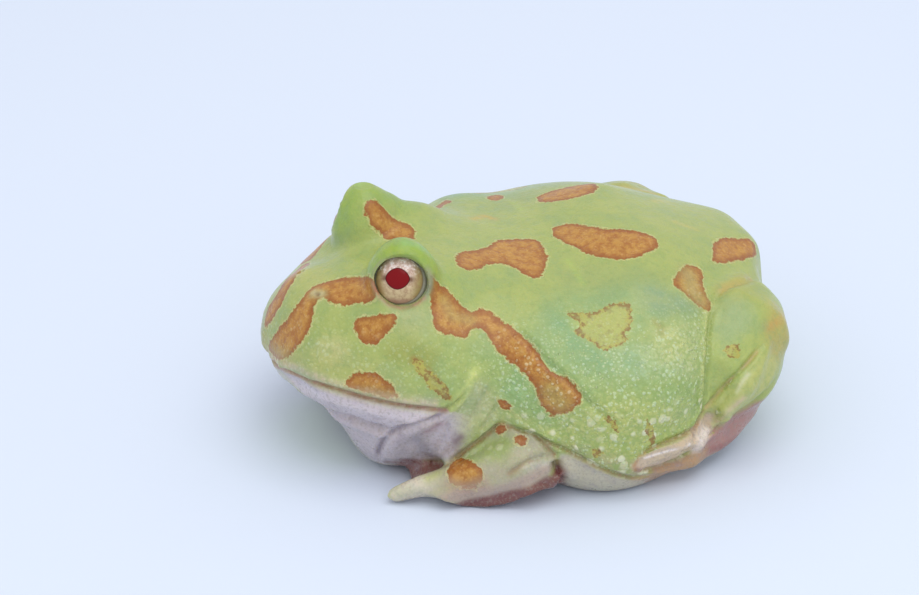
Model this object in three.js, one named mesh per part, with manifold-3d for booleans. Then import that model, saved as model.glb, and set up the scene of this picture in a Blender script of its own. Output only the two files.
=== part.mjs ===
// Argentine horned frog, life size, squatting with its belly on the floor.
// Millimetres, +Z up. The snout points along -Y and the frog's left side is +X.
// Every form is a three.js sphere, cylinder or extrusion. Spheres are drawn out into the trunk
// and the limbs, the forms are joined and cut as solids, and the body is parted by thin cuts.
import * as THREE from "three";
import { mergeVertices } from "three/addons/utils/BufferGeometryUtils.js";
import Module from "manifold-3d";

const wasm = await Module();
wasm.setup();

// Driving dimensions
const SNOUT_Y = -41; // tip of the snout
const VENT_Y = 42; // end of the rump
const GAP = 0.3; // width of the cuts between parts
const EYE_R = 4.7; // eyeball
const EYE = [9.3, -21.1, 30.0]; // centre of the left eyeball
const GAZE = new THREE.Vector3(0.883, -0.321, 0.342).normalize(); // where the left eye looks
const ORBIT = new THREE.Vector3(9.2, -20.7, 30); // lids and wall round the left eye
const ORBIT_R = new THREE.Vector3(5.9, 5.7, 5.5);
const HORN = [10.1, -21.3, 37]; // tip of the soft horn
const HORN_Z = 33.6; // where the horn's part of the upper eyelid starts
const NOSTRIL = [5.4, -33.4, 26.6];
const REACH = 60; // longer than any cut needs

// Outlines of the trunk, as [y, value] with the value that the rounded ends taper
const HALF_WIDTH = [[-41, 21.5], [-34, 24.2], [-28, 25.6], [-20, 25.6], [-12, 25.6], [-5, 29.6],
  [3, 34], [12, 35.6], [20, 34.5], [28, 32.7], [34, 32.4], [42, 32]];
const RISE = [[-41, 17.5], [-33, 16.4], [-24, 17], [-15, 16.6], [-5, 14.6], [6, 15], [18, 18],
  [28, 19], [36, 19.8], [42, 23]];
const DROP = [[-41, 15], [-36, 15], [-31, 19.5], [-26, 20.5], [-20, 19], [-10, 18.4], [4, 18.5],
  [14, 20], [36, 20], [42, 18]];
const WAIST_Z = [[-41, 18.8], [-38, 18.2], [-32, 17.2], [-24, 16], [-15, 15.5], [-5, 15], [8, 14],
  [28, 14], [36, 15.5], [42, 18]]; // height of the widest line
const LOWER_SQUARE = [[-41, 2], [-32, 2.4], [-24, 2.8], [-8, 3.1], [5, 3.8], [14, 3.1], [25, 3.1],
  [42, 2.2]];
const UPPER_SQUARE = [[-41, 1.45], [-34, 1.6], [-27, 1.82], [-8, 2], [4, 1.86], [20, 2.02], [42, 2.1]]; // 2 is an ellipse, more is squarer

// Line of the mouth and the border of the neck, seen from the side, as [y, z]
const MOUTH = [[-46, 17.2], [-38, 17], [-31.7, 16.3], [-25, 15.2], [-17.5, 13.5], [-13, 11.2]];
const NECK = [[-14.5, -8], [-14, 4], [-13, 11.2], [-11, 20], [-9, 30], [-8, 46]];

// Soft swellings and hollows of the trunk: where on it, how wide, and how far they push its skin
const SWELLINGS = [
  { at: [5.4, -33.2, 27], reach: 3.6, push: [0.3, -0.5, 0.9] }, // nostril
  { at: [19, -24, 19], reach: 7, push: [0.8, 0, 0] }, // cheek
  { at: [0, -21, 32], reach: 5, push: [0, 0, -0.8] }, // hollow between the eyes
  { at: [10, -20.6, 28], reach: 7.5, push: [1.2, 0, 1.8] }, // wall of the eye socket
  { at: [17, -10, 25], reach: 6, push: [-0.8, 0, -0.5] }, // behind the eye
  { at: [9, 18, 32], reach: 9, push: [0, 0, 0.9] }, // hip of the back
  { at: [33, 4, 9], reach: 10, push: [1, 0, -0.8] }, // flank
];

// Value at y of an outline, eased between its points
function along(outline, y) {
  const last = outline.length - 1;
  if (y <= outline[0][0]) return outline[0][1];
  if (y >= outline[last][0]) return outline[last][1];
  const i = outline.findIndex((p) => p[0] > y) - 1;
  const slope = (a, b) => (outline[b][1] - outline[a][1]) / (outline[b][0] - outline[a][0]);
  const m0 = slope(Math.max(i - 1, 0), i + 1);
  const m1 = slope(i, Math.min(i + 2, last));
  const [y0, v0] = outline[i];
  const [y1, v1] = outline[i + 1];
  const h = y1 - y0;
  const t = (y - y0) / h;
  return (2 * t ** 3 - 3 * t ** 2 + 1) * v0 + (t ** 3 - 2 * t ** 2 + t) * h * m0 +
    (3 * t ** 2 - 2 * t ** 3) * v1 + (t ** 3 - t ** 2) * h * m1;
}

// Half width, height from the widest line and squareness of the trunk's upper or lower half at y
function section(y, up) {
  const station = (2 * y - SNOUT_Y - VENT_Y) / (VENT_Y - SNOUT_Y);
  const taper = Math.sqrt(Math.max(0, 1 - station * station));
  return {
    station,
    wide: along(HALF_WIDTH, y) * taper,
    high: along(up ? RISE : DROP, y) * taper,
    square: along(up ? UPPER_SQUARE : LOWER_SQUARE, y),
  };
}

// Point of the trunk's skin. turn is the angle round the body, with 0 at the left flank.
function trunkPoint(y, turn, grow = 0) {
  const { wide, high, square, station } = section(y, Math.sin(turn) >= 0);
  const curve = (v) => Math.sign(v) * Math.abs(v) ** (2 / square);
  const p = new THREE.Vector3(wide * curve(Math.cos(turn)), y, high * curve(Math.sin(turn)));
  const out = p.clone().setY(station * 12).normalize();
  p.z += along(WAIST_Z, y);
  const skin = p.clone();
  for (const { at, reach, push } of SWELLINGS) {
    for (const side of [1, -1]) {
      const away = skin.distanceTo(new THREE.Vector3(side * at[0], at[1], at[2]));
      const share = Math.exp(-((away / reach) ** 2)) * (at[0] === 0 ? 0.5 : 1);
      p.add(new THREE.Vector3(side * push[0], push[1], push[2]).multiplyScalar(share));
    }
  }
  return p.addScaledVector(out, grow);
}

// Closed solid of a three.js geometry
function solid(geometry) {
  const bare = new THREE.BufferGeometry().setAttribute("position", geometry.getAttribute("position"));
  bare.setIndex(geometry.index);
  const merged = mergeVertices(bare, 1e-4);
  const kept = [];
  const index = merged.index.array;
  for (let i = 0; i < index.length; i += 3) {
    const [a, b, c] = index.slice(i, i + 3);
    if (a !== b && b !== c && a !== c) kept.push(a, b, c);
  }
  const made = new wasm.Manifold(new wasm.Mesh({
    numProp: 3,
    vertProperties: merged.attributes.position.array,
    triVerts: new Uint32Array(kept),
  }));
  if (made.volume() < 0) throw new Error("a form is inside out");
  return made;
}

// Moves every point of a geometry
function shaped(geometry, move) {
  const p = geometry.getAttribute("position");
  const v = new THREE.Vector3();
  for (let i = 0; i < p.count; i++) {
    const w = move(v.fromBufferAttribute(p, i).clone());
    p.setXYZ(i, w.x, w.y, w.z);
  }
  return geometry;
}

function trunk(grow = 0, around = 50, rings = 46) {
  const end = 1e-3;
  return solid(shaped(new THREE.SphereGeometry(1, around, rings), (v) => {
    const y = (SNOUT_Y + VENT_Y) / 2 + ((VENT_Y - SNOUT_Y) / 2 + grow) * v.y;
    const inside = Math.min(Math.max(y, SNOUT_Y + end), VENT_Y - end);
    const pole = Math.hypot(v.x, v.z) < 1e-6;
    const p = trunkPoint(inside, Math.atan2(v.z, v.x), grow);
    if (pole) p.setX(0).setZ(along(WAIST_Z, inside));
    return p.setY(pole ? y : p.y);
  }));
}

function ellipsoid(centre, radii, around = 24, rings = 16) {
  return solid(new THREE.SphereGeometry(1, around, rings).scale(...radii).translate(...centre));
}

// Straight length of a limb from one [x, y, z, radius] point to the next, with round ends
function length(from, to, { flat, grow, around, cap }) {
  const SHAFT = 1; // rings of the shaft
  const [start, end] = [from, to].map((b) => new THREE.Vector3(b[0], b[1], b[2]));
  const forward = end.clone().sub(start).normalize();
  const side = new THREE.Vector3(0, 0, 1).cross(forward).normalize();
  const top = forward.clone().cross(side);
  const total = SHAFT + 2 * cap;
  return solid(shaped(new THREE.SphereGeometry(1, around, total), (v) => {
    const ring = Math.round((Math.acos(THREE.MathUtils.clamp(-v.y, -1, 1)) / Math.PI) * total);
    const turn = Math.atan2(v.z, v.x);
    const t = THREE.MathUtils.clamp((ring - cap) / SHAFT, 0, 1);
    const past = Math.min(0, ring - cap) + Math.max(0, ring - cap - SHAFT);
    const bend = ((past / cap) * Math.PI) / 2;
    const r = THREE.MathUtils.lerp(from[3], to[3], t) + grow;
    return start.clone().lerp(end, t)
      .addScaledVector(forward, r * Math.sin(bend))
      .addScaledVector(side, r * Math.cos(bend) * Math.cos(turn))
      .addScaledVector(top, -r * flat * Math.cos(bend) * Math.sin(turn));
  }));
}

// Limb along a bone of [x, y, z, radius] points. flat is its thickness as a share of its width,
// and cap the rings of each rounded end.
function limb(bone, { flat = 1, grow = 0, around = 12, cap = 2 } = {}) {
  return joined(...bone.slice(1).map((b, i) => length(bone[i], b, { flat, grow, around, cap })));
}

// Slab across the body whose outline is drawn from the side, as [y, z]
function sideRegion(outline) {
  const shape = new THREE.Shape(outline.map(([y, z]) => new THREE.Vector2(y, z)));
  const slab = new THREE.ExtrudeGeometry(shape, { depth: 2 * REACH, bevelEnabled: false });
  return solid(shaped(slab, (v) => new THREE.Vector3(v.z - REACH, v.x, v.y)));
}

const joined = (...solids) => solids.reduce((a, b) => a.add(b));
const without = (a, ...cuts) => cuts.reduce((left, cut) => left.subtract(cut), a);
const largest = (s) => s.decompose().reduce((a, b) => (a.volume() > b.volume() ? a : b));

// Everything below the floor, which flattens what rests on it
const floor = solid(new THREE.BoxGeometry(4 * REACH, 4 * REACH, REACH).translate(0, 0, -REACH / 2));

// Everything above a height, and everything on the frog's left
const above = (z) => solid(new THREE.BoxGeometry(4 * REACH, 4 * REACH, REACH).translate(0, 0, z + REACH / 2));
const leftSide = solid(new THREE.BoxGeometry(REACH, 4 * REACH, 4 * REACH).translate(REACH / 2, 0, 0));

// Lids round the left eye, drawn up into the soft horn of the upper one
function orbit() {
  const tip = new THREE.Vector3(...HORN).sub(ORBIT);
  const aim = tip.clone().divide(ORBIT_R);
  const pull = aim.length() - 1;
  aim.normalize();
  return solid(shaped(new THREE.SphereGeometry(1, 26, 18).rotateX(Math.PI / 2), (v) => {
    const share = Math.max(0, v.dot(aim)) ** 5;
    return v.multiplyScalar(1 + pull * share).multiply(ORBIT_R).add(ORBIT);
  }));
}

// Socket of the left eye, open along its gaze between the rims of the lids
function eyeOpening() {
  const SOCKET_R = EYE_R + GAP;
  const DEPTH = 7;
  const funnel = new THREE.CylinderGeometry(5.2, 3.75, DEPTH, 22);
  funnel.translate(0, DEPTH / 2 + 2.2, 0);
  funnel.applyQuaternion(new THREE.Quaternion().setFromUnitVectors(new THREE.Vector3(0, 1, 0), GAZE));
  return joined(ellipsoid(EYE, [SOCKET_R, SOCKET_R, SOCKET_R], 18, 12), solid(funnel.translate(...EYE)));
}

// Point of the bare trunk on the mouth's line, moved up by rise, in a direction seen from above:
// bearing is the angle from straight ahead towards the left
function onMouth(bearing, rise) {
  const HUB_Y = -14;
  let near = 5;
  let far = 40;
  for (let step = 0; step < 24; step++) {
    const r = (near + far) / 2;
    const x = r * Math.sin(bearing);
    const y = HUB_Y - r * Math.cos(bearing);
    const z = along(MOUTH, y) + rise;
    const { wide, high, square } = section(y, z >= along(WAIST_Z, y));
    const inside = (x / wide) ** square + (Math.abs(z - along(WAIST_Z, y)) / high) ** square < 1;
    if (inside && wide > 0) near = r;
    else far = r;
  }
  const y = HUB_Y - near * Math.cos(bearing);
  return [near * Math.sin(bearing), y, along(MOUTH, y) + rise];
}

// Raised rim along the left half of the mouth
function lip(rise, radius) {
  const PIECES = 8;
  const CORNER = 1.5; // bearing of the mouth's corner
  const bone = [];
  for (let i = 0; i <= PIECES; i++) {
    const bearing = i === 0 ? -0.02 : CORNER * (i / PIECES) ** 1.2;
    const thin = 1 - 0.5 * (i / PIECES) ** 3;
    bone.push([...onMouth(bearing, rise), radius * thin]);
  }
  return limb(bone, { around: 8, cap: 1 });
}

function nostril() {
  return ellipsoid(NOSTRIL, [0.75, 0.85, 1.3], 12, 8);
}

// Mirror of a solid across the frog's midline
function mirrored(s) {
  const m = s.getMesh();
  const position = new Float32Array(m.numVert * 3);
  for (let i = 0; i < m.numVert; i++) {
    const [x, y, z] = m.vertProperties.subarray(i * m.numProp, i * m.numProp + 3);
    position.set([-x, y, z], i * 3);
  }
  const turned = new Uint32Array(m.triVerts);
  for (let i = 0; i < turned.length; i += 3) [turned[i + 1], turned[i + 2]] = [turned[i + 2], turned[i + 1]];
  return new wasm.Manifold(new wasm.Mesh({ numProp: 3, vertProperties: position, triVerts: turned }));
}
const both = (s) => joined(s, mirrored(s));

// Limbs of the left side, as [x, y, z, radius]
const UPPER_ARM = [[21, -8, 8, 5.2], [25.6, -5.6, 6.8, 4.8], [27, -4, 5.6, 4.2]];
const FOREARM = [[26.2, -3.6, 5.2, 3.6], [26.7, -9, 5.4, 4.9], [26, -15, 3.8, 3.7]];
const PALM = [[25.8, -15, 3.3, 3.4], [24.8, -19, 3, 3.2], [23.8, -21, 2.5, 2.5]];
const FINGERS = [
  [[24.2, -20, 2.6, 2.0], [23.6, -23.4, 2.4, 1.5], [22.4, -27, 1.2, 1.25]],
  [[22.6, -19.6, 2.2, 1.8], [20, -21.2, 2.0, 1.4], [17.4, -22.2, 1.1, 1.1]],
  [[22, -18, 2, 1.7], [18, -18.6, 2, 1.4], [14.6, -18.4, 1.1, 1.1]],
  [[22, -16.4, 2, 1.7], [18.6, -15.4, 1.9, 1.3], [15.8, -14.4, 1.1, 1.1]],
];
const THIGH = [[12, 30, 14, 9], [19.5, 29.4, 16.2, 9.2], [24.2, 25, 14.8, 7.6]];
const SHANK = [[25.2, 23.8, 12, 6.8], [24.4, 28, 13, 7.2], [23.6, 30.4, 12, 6.6]];
const TARSUS = [[24.6, 29, 7, 3.8], [26.6, 26, 5.6, 3.4], [27.8, 24, 4.8, 3.0]];
const TOES = [
  [[28, 24, 4.2, 2.1], [31.6, 16.5, 4.6, 1.8], [33.6, 8.8, 4.6, 1.4]],
  [[28, 25.5, 4.4, 2.2], [29.8, 22.4, 4, 1.8], [30.2, 19, 3.2, 1.4]],
  [[25, 24, 2.8, 1.9], [25.6, 17.5, 2, 1.5], [25.4, 12.5, 1.2, 1.1]],
  [[23.6, 25.5, 2.4, 1.8], [22.4, 20, 1.8, 1.4], [21.4, 16.5, 1.1, 1.1]],
  [[22.4, 27.5, 2.4, 1.7], [19.8, 24, 1.6, 1.3], [18, 22, 1.1, 1.0]],
];

// Builds a limb's segments from the root out, each cut clear of the trunk and of the one before
function segments(list, clear) {
  const nodes = {};
  let taken = clear;
  for (const [name, form] of list) {
    nodes[name] = largest(without(form(0), taken, floor));
    taken = joined(taken, form(GAP));
  }
  return nodes;
}

const trunkClear = trunk(GAP, 40, 34); // coarser, as it only shapes hidden faces
const foreleg = segments([
  ["upper_arm", (g) => limb(UPPER_ARM, { grow: g })],
  ["forearm", (g) => limb(FOREARM, { grow: g })],
  ["hand", (g) => joined(limb(PALM, { grow: g, flat: 0.8 }),
    ...FINGERS.map((f) => limb(f, { grow: g, around: 7 })))],
], trunkClear);
const hindleg = segments([
  ["thigh", (g) => limb(THIGH, { grow: g, around: 14 })],
  ["shank", (g) => limb(SHANK, { grow: g, around: 14 })],
  ["foot", (g) => joined(limb(TARSUS, { grow: g }),
    ...TOES.map((t) => limb(t, { grow: g, around: 7 })))],
], trunkClear);

// Head, lower jaw and torso, parted from one body by the mouth and the neck
const body = trunk();
const lips = both(joined(lip(0.75, 0.7), lip(-1, 1)));
const headForm = without(joined(body, both(orbit()), lips), both(eyeOpening()), both(nostril()), floor);
const shifted = (line, dy, dz) => line.map(([y, z]) => [y + dy, z + dz]);
const chin = NECK.filter((p) => p[1] < MOUTH.at(-1)[1]);
const nape = NECK.filter((p) => p[1] > MOUTH.at(-1)[1]);
const headRegion = sideRegion([...shifted(MOUTH, 0, GAP / 2), ...shifted(nape, -GAP / 2, 0), [-46, 46]]);
const jawRegion = sideRegion([[-46, -8], ...shifted(chin, -GAP / 2, 0),
  ...shifted(MOUTH, 0, -GAP / 2).reverse()]);
const torsoRegion = sideRegion([...shifted(NECK, GAP / 2, 0).reverse(), [60, -8], [60, 46]].reverse());

const torso = largest(without(body, floor).intersect(torsoRegion));
const headWithHorns = largest(headForm.intersect(headRegion));
const head = largest(without(headWithHorns, above(HORN_Z - GAP)));
const horn = largest(headWithHorns.intersect(above(HORN_Z)).intersect(leftSide));
const lowerJaw = largest(headForm.intersect(jawRegion));
const eye = ellipsoid(EYE, [EYE_R, EYE_R, EYE_R], 20, 12);

const group = new THREE.Group();

function place(name, s, colour, roughness) {
  const m = s.getMesh();
  const position = new Float32Array(m.numVert * 3);
  for (let i = 0; i < m.numVert; i++) {
    position.set(m.vertProperties.subarray(i * m.numProp, i * m.numProp + 3), i * 3);
  }
  const geometry = new THREE.BufferGeometry()
    .setAttribute("position", new THREE.BufferAttribute(position, 3))
    .setIndex(new THREE.BufferAttribute(m.triVerts, 1));
  geometry.computeVertexNormals();
  const mesh = new THREE.Mesh(geometry, new THREE.MeshStandardMaterial({ color: colour, roughness, metalness: 0 }));
  mesh.name = name;
  group.add(mesh);
}

const GREEN = 0xa8bd78;
const PALE = 0xd8cfd2;
place("torso", torso, GREEN, 0.5);
place("head", head, GREEN, 0.5);
place("lower_jaw", lowerJaw, PALE, 0.5);
for (const [side, turn] of [["left", (s) => s], ["right", mirrored]]) {
  place(`eye_${side}`, turn(eye), 0xc9b8a6, 0.1);
  place(`horn_${side}`, turn(horn), GREEN, 0.5);
  for (const [name, s] of Object.entries({ ...foreleg, ...hindleg })) {
    place(`${name}_${side}`, turn(s), GREEN, 0.5);
  }
}

// The origin lies on the floor under the middle of the frog's length
group.position.y = -(SNOUT_Y + VENT_Y) / 2;

export default group;
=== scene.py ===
"""Argentine horned frog, life size, squatting with its belly on the floor.

The frog faces -Y, its left side is +X and the floor is at Z = 0. Sizes in the tables below are in
millimetres, and a pixel is one of the photo's frame of 919 x 595. The skin is modelled from the
frame's flesh: its parts are grown together into one closed surface, which is then carved. Its
markings are outlines drawn on that surface, kept as distances in attributes and turned into
colour by the materials.
"""

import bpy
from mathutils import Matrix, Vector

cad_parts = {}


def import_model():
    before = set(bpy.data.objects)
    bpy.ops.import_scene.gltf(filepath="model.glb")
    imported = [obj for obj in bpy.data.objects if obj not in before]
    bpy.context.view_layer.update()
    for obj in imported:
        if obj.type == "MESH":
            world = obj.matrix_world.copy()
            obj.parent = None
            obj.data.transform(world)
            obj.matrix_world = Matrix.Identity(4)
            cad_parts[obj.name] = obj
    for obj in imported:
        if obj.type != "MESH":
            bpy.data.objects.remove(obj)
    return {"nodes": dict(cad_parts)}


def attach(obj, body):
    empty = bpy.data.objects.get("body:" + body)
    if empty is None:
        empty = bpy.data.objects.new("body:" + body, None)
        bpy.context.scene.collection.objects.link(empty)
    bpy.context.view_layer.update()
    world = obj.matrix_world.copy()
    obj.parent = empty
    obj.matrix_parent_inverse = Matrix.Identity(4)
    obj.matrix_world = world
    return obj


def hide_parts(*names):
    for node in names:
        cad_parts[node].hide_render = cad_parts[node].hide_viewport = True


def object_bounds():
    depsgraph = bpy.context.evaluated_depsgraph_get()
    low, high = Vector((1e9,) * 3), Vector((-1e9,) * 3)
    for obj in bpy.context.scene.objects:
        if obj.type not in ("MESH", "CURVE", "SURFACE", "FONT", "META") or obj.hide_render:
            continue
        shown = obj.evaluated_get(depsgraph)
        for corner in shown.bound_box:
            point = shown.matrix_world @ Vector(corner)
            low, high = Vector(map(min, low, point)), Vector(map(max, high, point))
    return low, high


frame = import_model()
CAD_BOX = [list(corner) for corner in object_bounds()]

import math
from types import SimpleNamespace

import bmesh
import bpy
import numpy as np
from bpy.props import FloatProperty, FloatVectorProperty, IntProperty, PointerProperty
from bpy.types import Operator, Panel, PropertyGroup
from mathutils import Vector
from mathutils.bvhtree import BVHTree

bl_info = {
    "name": "Argentine Horned Frog",
    "version": (1, 0, 0),
    "blender": (4, 5, 0),
    "location": "View3D > Sidebar > Frog",
    "description": "Builds the skin, eyes and stage of a horned frog around its frame",
    "category": "Object",
}

MM = 0.001
MIRROR = (-1, 1, 1)
PHOTO_SIZE = (919, 595)

# The camera: its turn and height round the frog in degrees, and its distance and aim in mm
CAMERA_TURN = 69.0
CAMERA_HEIGHT = 28.0
CAMERA_DISTANCE = 418.0
CAMERA_AIM = (-1.5, -8.1, 19.1)
LENS = 105.0
SENSOR = 36.0

# Lights: place and side of the square in metres, power in watts, and whether the gloss shows it
LIGHTS = {
    "key": ((0.16, 0.08, 0.7), 0.6, 1.6, True),
    "fill": ((0.5, -0.1, 0.45), 0.5, 0.5, False),
}

# Flesh of the frame that the skin stands for
LIMBS = ("upper_arm", "forearm", "hand", "thigh", "shank", "foot")
FLESH = ["head", "lower_jaw", "torso", "horn_left", "horn_right"]
FLESH += [f"{limb}_{side}" for limb in LIMBS for side in ("left", "right")]

# Left eye: its ball in mm, its pupil's half width and half height and how round its corners are, and
# the pixels of its pupil, of its iris and round its lids' opening
EYE_CENTRE = (9.1, -21.5, 29.95)
EYE_RADIUS = 4.4
GAZE = (0.883, -0.321, 0.342)
PUPIL_HALF_WIDTH = 1.82
PUPIL_HALF_HEIGHT = 1.62
PUPIL_ROUNDNESS = 1.75
PUPIL_PIXEL = (397.3, 278.6)
IRIS_PIXEL = (398.3, 280.5)
EYE_OPENING = [
    (372, 277), (374, 268), (380, 261), (389, 258), (398, 257.5), (409, 259.5), (418, 264), (424, 270),
    (427.5, 277), (428, 284), (426, 290), (422, 296), (417, 301), (410, 305), (401, 307), (391, 305),
    (384, 300), (377, 290)]

# Lids: how far they stand off the eye and reach into it in mm, the height of their sharp edge as a
# share of their thickness, how far back they go round the eye in radians, and the stations of their
# outside and inside from the opening to the back
LID_THICKNESS = 0.6
LID_OVERLAP = 0.1
LID_EDGE = 0.15
LID_TURN = 1.75
LID_OUTSIDE = (0.0, 0.2, 0.45, 0.7, 1.0)
LID_INSIDE = (0.7, 0.4)

# Tubes of the toes and fingers: their sides, and the turns of the rings that round their ends
TUBE_SIDES = 14
CAP_TURNS = (0.45, 0.9, 1.4)

# A stroke fades out over this share of its length at each end. A groove has banks beside it, whose
# place and width are shares of its half width, and their height a share of its depth.
STROKE_TAPER = 0.125
BANK_PLACE = 2.4
BANK_WIDTH = 1.3
BANK_HEIGHT = 0.3

# An area reaches this deep, in mm, to either side of its own plane, and only onto faces that turn
# this much towards it. FAR_AWAY is past what matters to a marking.
AREA_DEPTH = 5.0
LEAST_FACING = 0.05
FAR_AWAY = 6.0

# Where the nearest point to a line of sight is looked for, in mm along it from the frog's middle
SIGHT_STEPS = range(-50, 51, 2)
TINY = 1e-12

# X of a place between the horns, and the mouth's height Z along Y, in mm
MID_HEAD = 3.0
MOUTH_LINE = ((-41.5, -38.5, -32.2, -25.5, -18.0, -13.5, -12.5), (18.0, 17.6, 16.8, 15.7, 14.0, 12.0, 40.0))

# Paths of pixels that are both carved and coloured
MOUTH = [
    (287, 370), (300, 376), (317, 383), (340, 390), (363, 397), (386, 402), (409, 406), (432, 409),
    (446, 410)]
THROAT_FOLD = [(446, 411), (438, 415), (419, 421), (403, 426), (392, 432), (383, 440), (378, 452)]
ARM_TOP = [(446, 465), (457, 457), (470, 447), (480, 440), (494, 428), (501, 423)]
HEM = [
    (501, 423), (518, 429), (534, 434), (550, 442), (576, 454), (594, 464), (612, 472), (630, 477),
    (650, 476)]

# Orange-brown blotches, outlined in pixels. Those that end in _far are seen on the frog's right.
BLOTCHES = {
    "shoulder": [
        (455, 260), (459, 252), (473, 251), (486, 248), (497, 240), (510, 239), (532, 239), (541, 242),
        (547, 255), (546, 269), (540, 277), (532, 278), (523, 273), (514, 267), (501, 263), (488, 264),
        (478, 270), (467, 270), (458, 266)],
    "back": [
        (550, 232), (558, 225), (571, 223), (588, 226), (608, 230), (640, 231), (653, 236), (659, 242),
        (655, 250), (640, 258), (623, 260), (597, 257), (575, 248), (558, 240)],
    "behind_eye": [
        (430, 276), (438, 283), (445, 287), (454, 296), (462, 307), (473, 313), (479, 308), (488, 309),
        (497, 318), (510, 324), (519, 333), (532, 344), (541, 357), (549, 370), (558, 375), (569, 378),
        (575, 385), (583, 394), (582, 402), (571, 411), (558, 415), (547, 413), (540, 406), (539, 394),
        (532, 381), (527, 375), (519, 370), (510, 361), (497, 350), (491, 341), (486, 331), (475, 326),
        (467, 338), (454, 337), (443, 334), (433, 328), (432, 313), (431, 296)],
    "horn_far": [
        (364, 206), (367, 200), (375, 200), (382, 207), (391, 217), (404, 222), (416, 230), (415, 241),
        (400, 239), (391, 241), (382, 236), (372, 226), (366, 216)],
    "snout_band": [
        (312, 287), (332, 280), (353, 276), (367, 274), (374, 280), (376, 290), (378, 298), (367, 303),
        (353, 302), (338, 307), (330, 303), (326, 296), (318, 300), (315, 307), (312, 323), (307, 337),
        (297, 348), (283, 362), (273, 357), (268, 347), (273, 337), (287, 320), (298, 305)],
    "snout_far": [
        (310, 262), (300, 266), (290, 276), (279, 292), (269, 307), (264, 323), (266, 330), (273, 320),
        (284, 302), (290, 286), (298, 276), (309, 265)],
    "cheek": [
        (353, 323), (361, 316), (379, 315), (397, 312), (397, 318), (391, 329), (382, 339), (372, 346),
        (358, 339)],
    "lip": [
        (343, 385), (350, 375), (363, 370), (377, 373), (390, 383), (400, 395), (398, 400), (374, 394),
        (357, 389)],
    "rear": [(713, 239), (732, 238), (753, 240), (757, 259), (737, 261), (714, 265), (712, 257)],
    "flank": [
        (672, 283), (679, 270), (690, 264), (701, 268), (703, 281), (705, 294), (712, 305), (710, 313),
        (699, 307), (688, 296), (677, 287)],
    "back_far": [(536, 196), (559, 189), (594, 183), (599, 191), (579, 198), (538, 204)],
    "neck_far": [(485, 197), (500, 194), (505, 199), (490, 201)],
    "nape_far": [(427, 201), (441, 200), (454, 202), (441, 206), (430, 206)],
    "wrist": [
        (447, 470), (452, 461), (463, 457), (477, 465), (484, 475), (480, 485), (465, 489), (450, 485)],
    "armpit": [(497, 398), (510, 403), (512, 411), (504, 410), (498, 405)],
    "elbow": [(512, 436), (521, 434), (528, 440), (523, 447), (514, 444)],
    "armpit_top": [(495, 430), (503, 425), (508, 430), (500, 436)],
}
# Blotches of the unseen side: those above that it has too, and how far they are moved back in mm
MIRRORED_BLOTCHES = {"behind_eye": 0.6, "cheek": -0.8, "lip": 1.5, "wrist": 0.5}

# Brown and yellow marks without a clear rim, outlined in pixels
SMUDGES = {
    "side": [
        (564, 313), (575, 311), (595, 314), (610, 302), (629, 303), (633, 313), (627, 333), (627, 344),
        (610, 350), (597, 348), (584, 339), (573, 331), (582, 326), (575, 320)],
    "jowl": [
        (410, 360), (415, 355), (427, 367), (440, 378), (452, 395), (450, 402), (440, 398), (430, 387),
        (417, 373)],
    "belly_front": [(604, 414), (610, 414), (619, 428), (618, 433), (612, 429)],
    "belly_rear": [(645, 417), (650, 420), (655, 440), (651, 446), (646, 436)],
    "hem": [(588, 449), (597, 447), (603, 457), (595, 459)],
    "thigh": [(722, 346), (735, 343), (742, 350), (738, 361), (726, 358)],
}
MIRRORED_SMUDGES = {"side": 1.5, "jowl": 1.0, "belly_front": -1.5, "thigh": 0.5}

# Fingers added to the flesh: points in mm with their radii, on the frog's left
LIMB_PIECES = {
    "finger": [
        (25.4, -17.0, 4.2, 2.6), (24.6, -20.5, 3.6, 2.2), (23.8, -24.2, 3.1, 1.75), (22.8, -27.0, 1.9, 1.5),
        (22.5, -28.0, 1.5, 1.3)],
}
# Toes and flaps that lie on the flesh: pixels with their radii and their lift off it in mm
LAID_PIECES = {
    "long_toe": [
        (693, 441, 0.95, 0.3), (684, 443, 1.05, 0.5), (670, 447, 1.15, 0.8), (654, 454, 1.2, 0.8),
        (643, 460, 1.1, 0.7), (638, 464, 0.9, 0.5)],
    "outer_toe": [
        (768, 345, 1.2, -0.5), (757, 368, 1.6, -0.2), (742, 388, 1.8, 0.0), (725, 407, 1.6, 0.5),
        (712, 424, 1.2, 1.0), (703, 438, 1.0, 1.4), (697, 450, 0.85, 1.3)],
    # The palm's edge is partly the hand's underside and partly a strip that fills the band of contact shadow
    # under the arm, which the arm's painted shadow darkens
    "palm_edge_shadow": [
        (430, 493, 0.7, 0.0), (447, 498, 0.8, 0.3), (466, 501, 0.85, 0.5), (488, 501, 0.85, 0.5),
        (510, 497, 0.85, 0.5), (530, 490, 0.85, 0.4), (548, 483, 0.8, 0.4), (560, 476, 0.7, 0.2)],
    "throat_flap": [
        (440, 452, 2.6, -1.6), (458, 441, 2.8, -1.6), (478, 428, 2.8, -1.8), (494, 418, 2.4, -1.8)],
}

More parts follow.
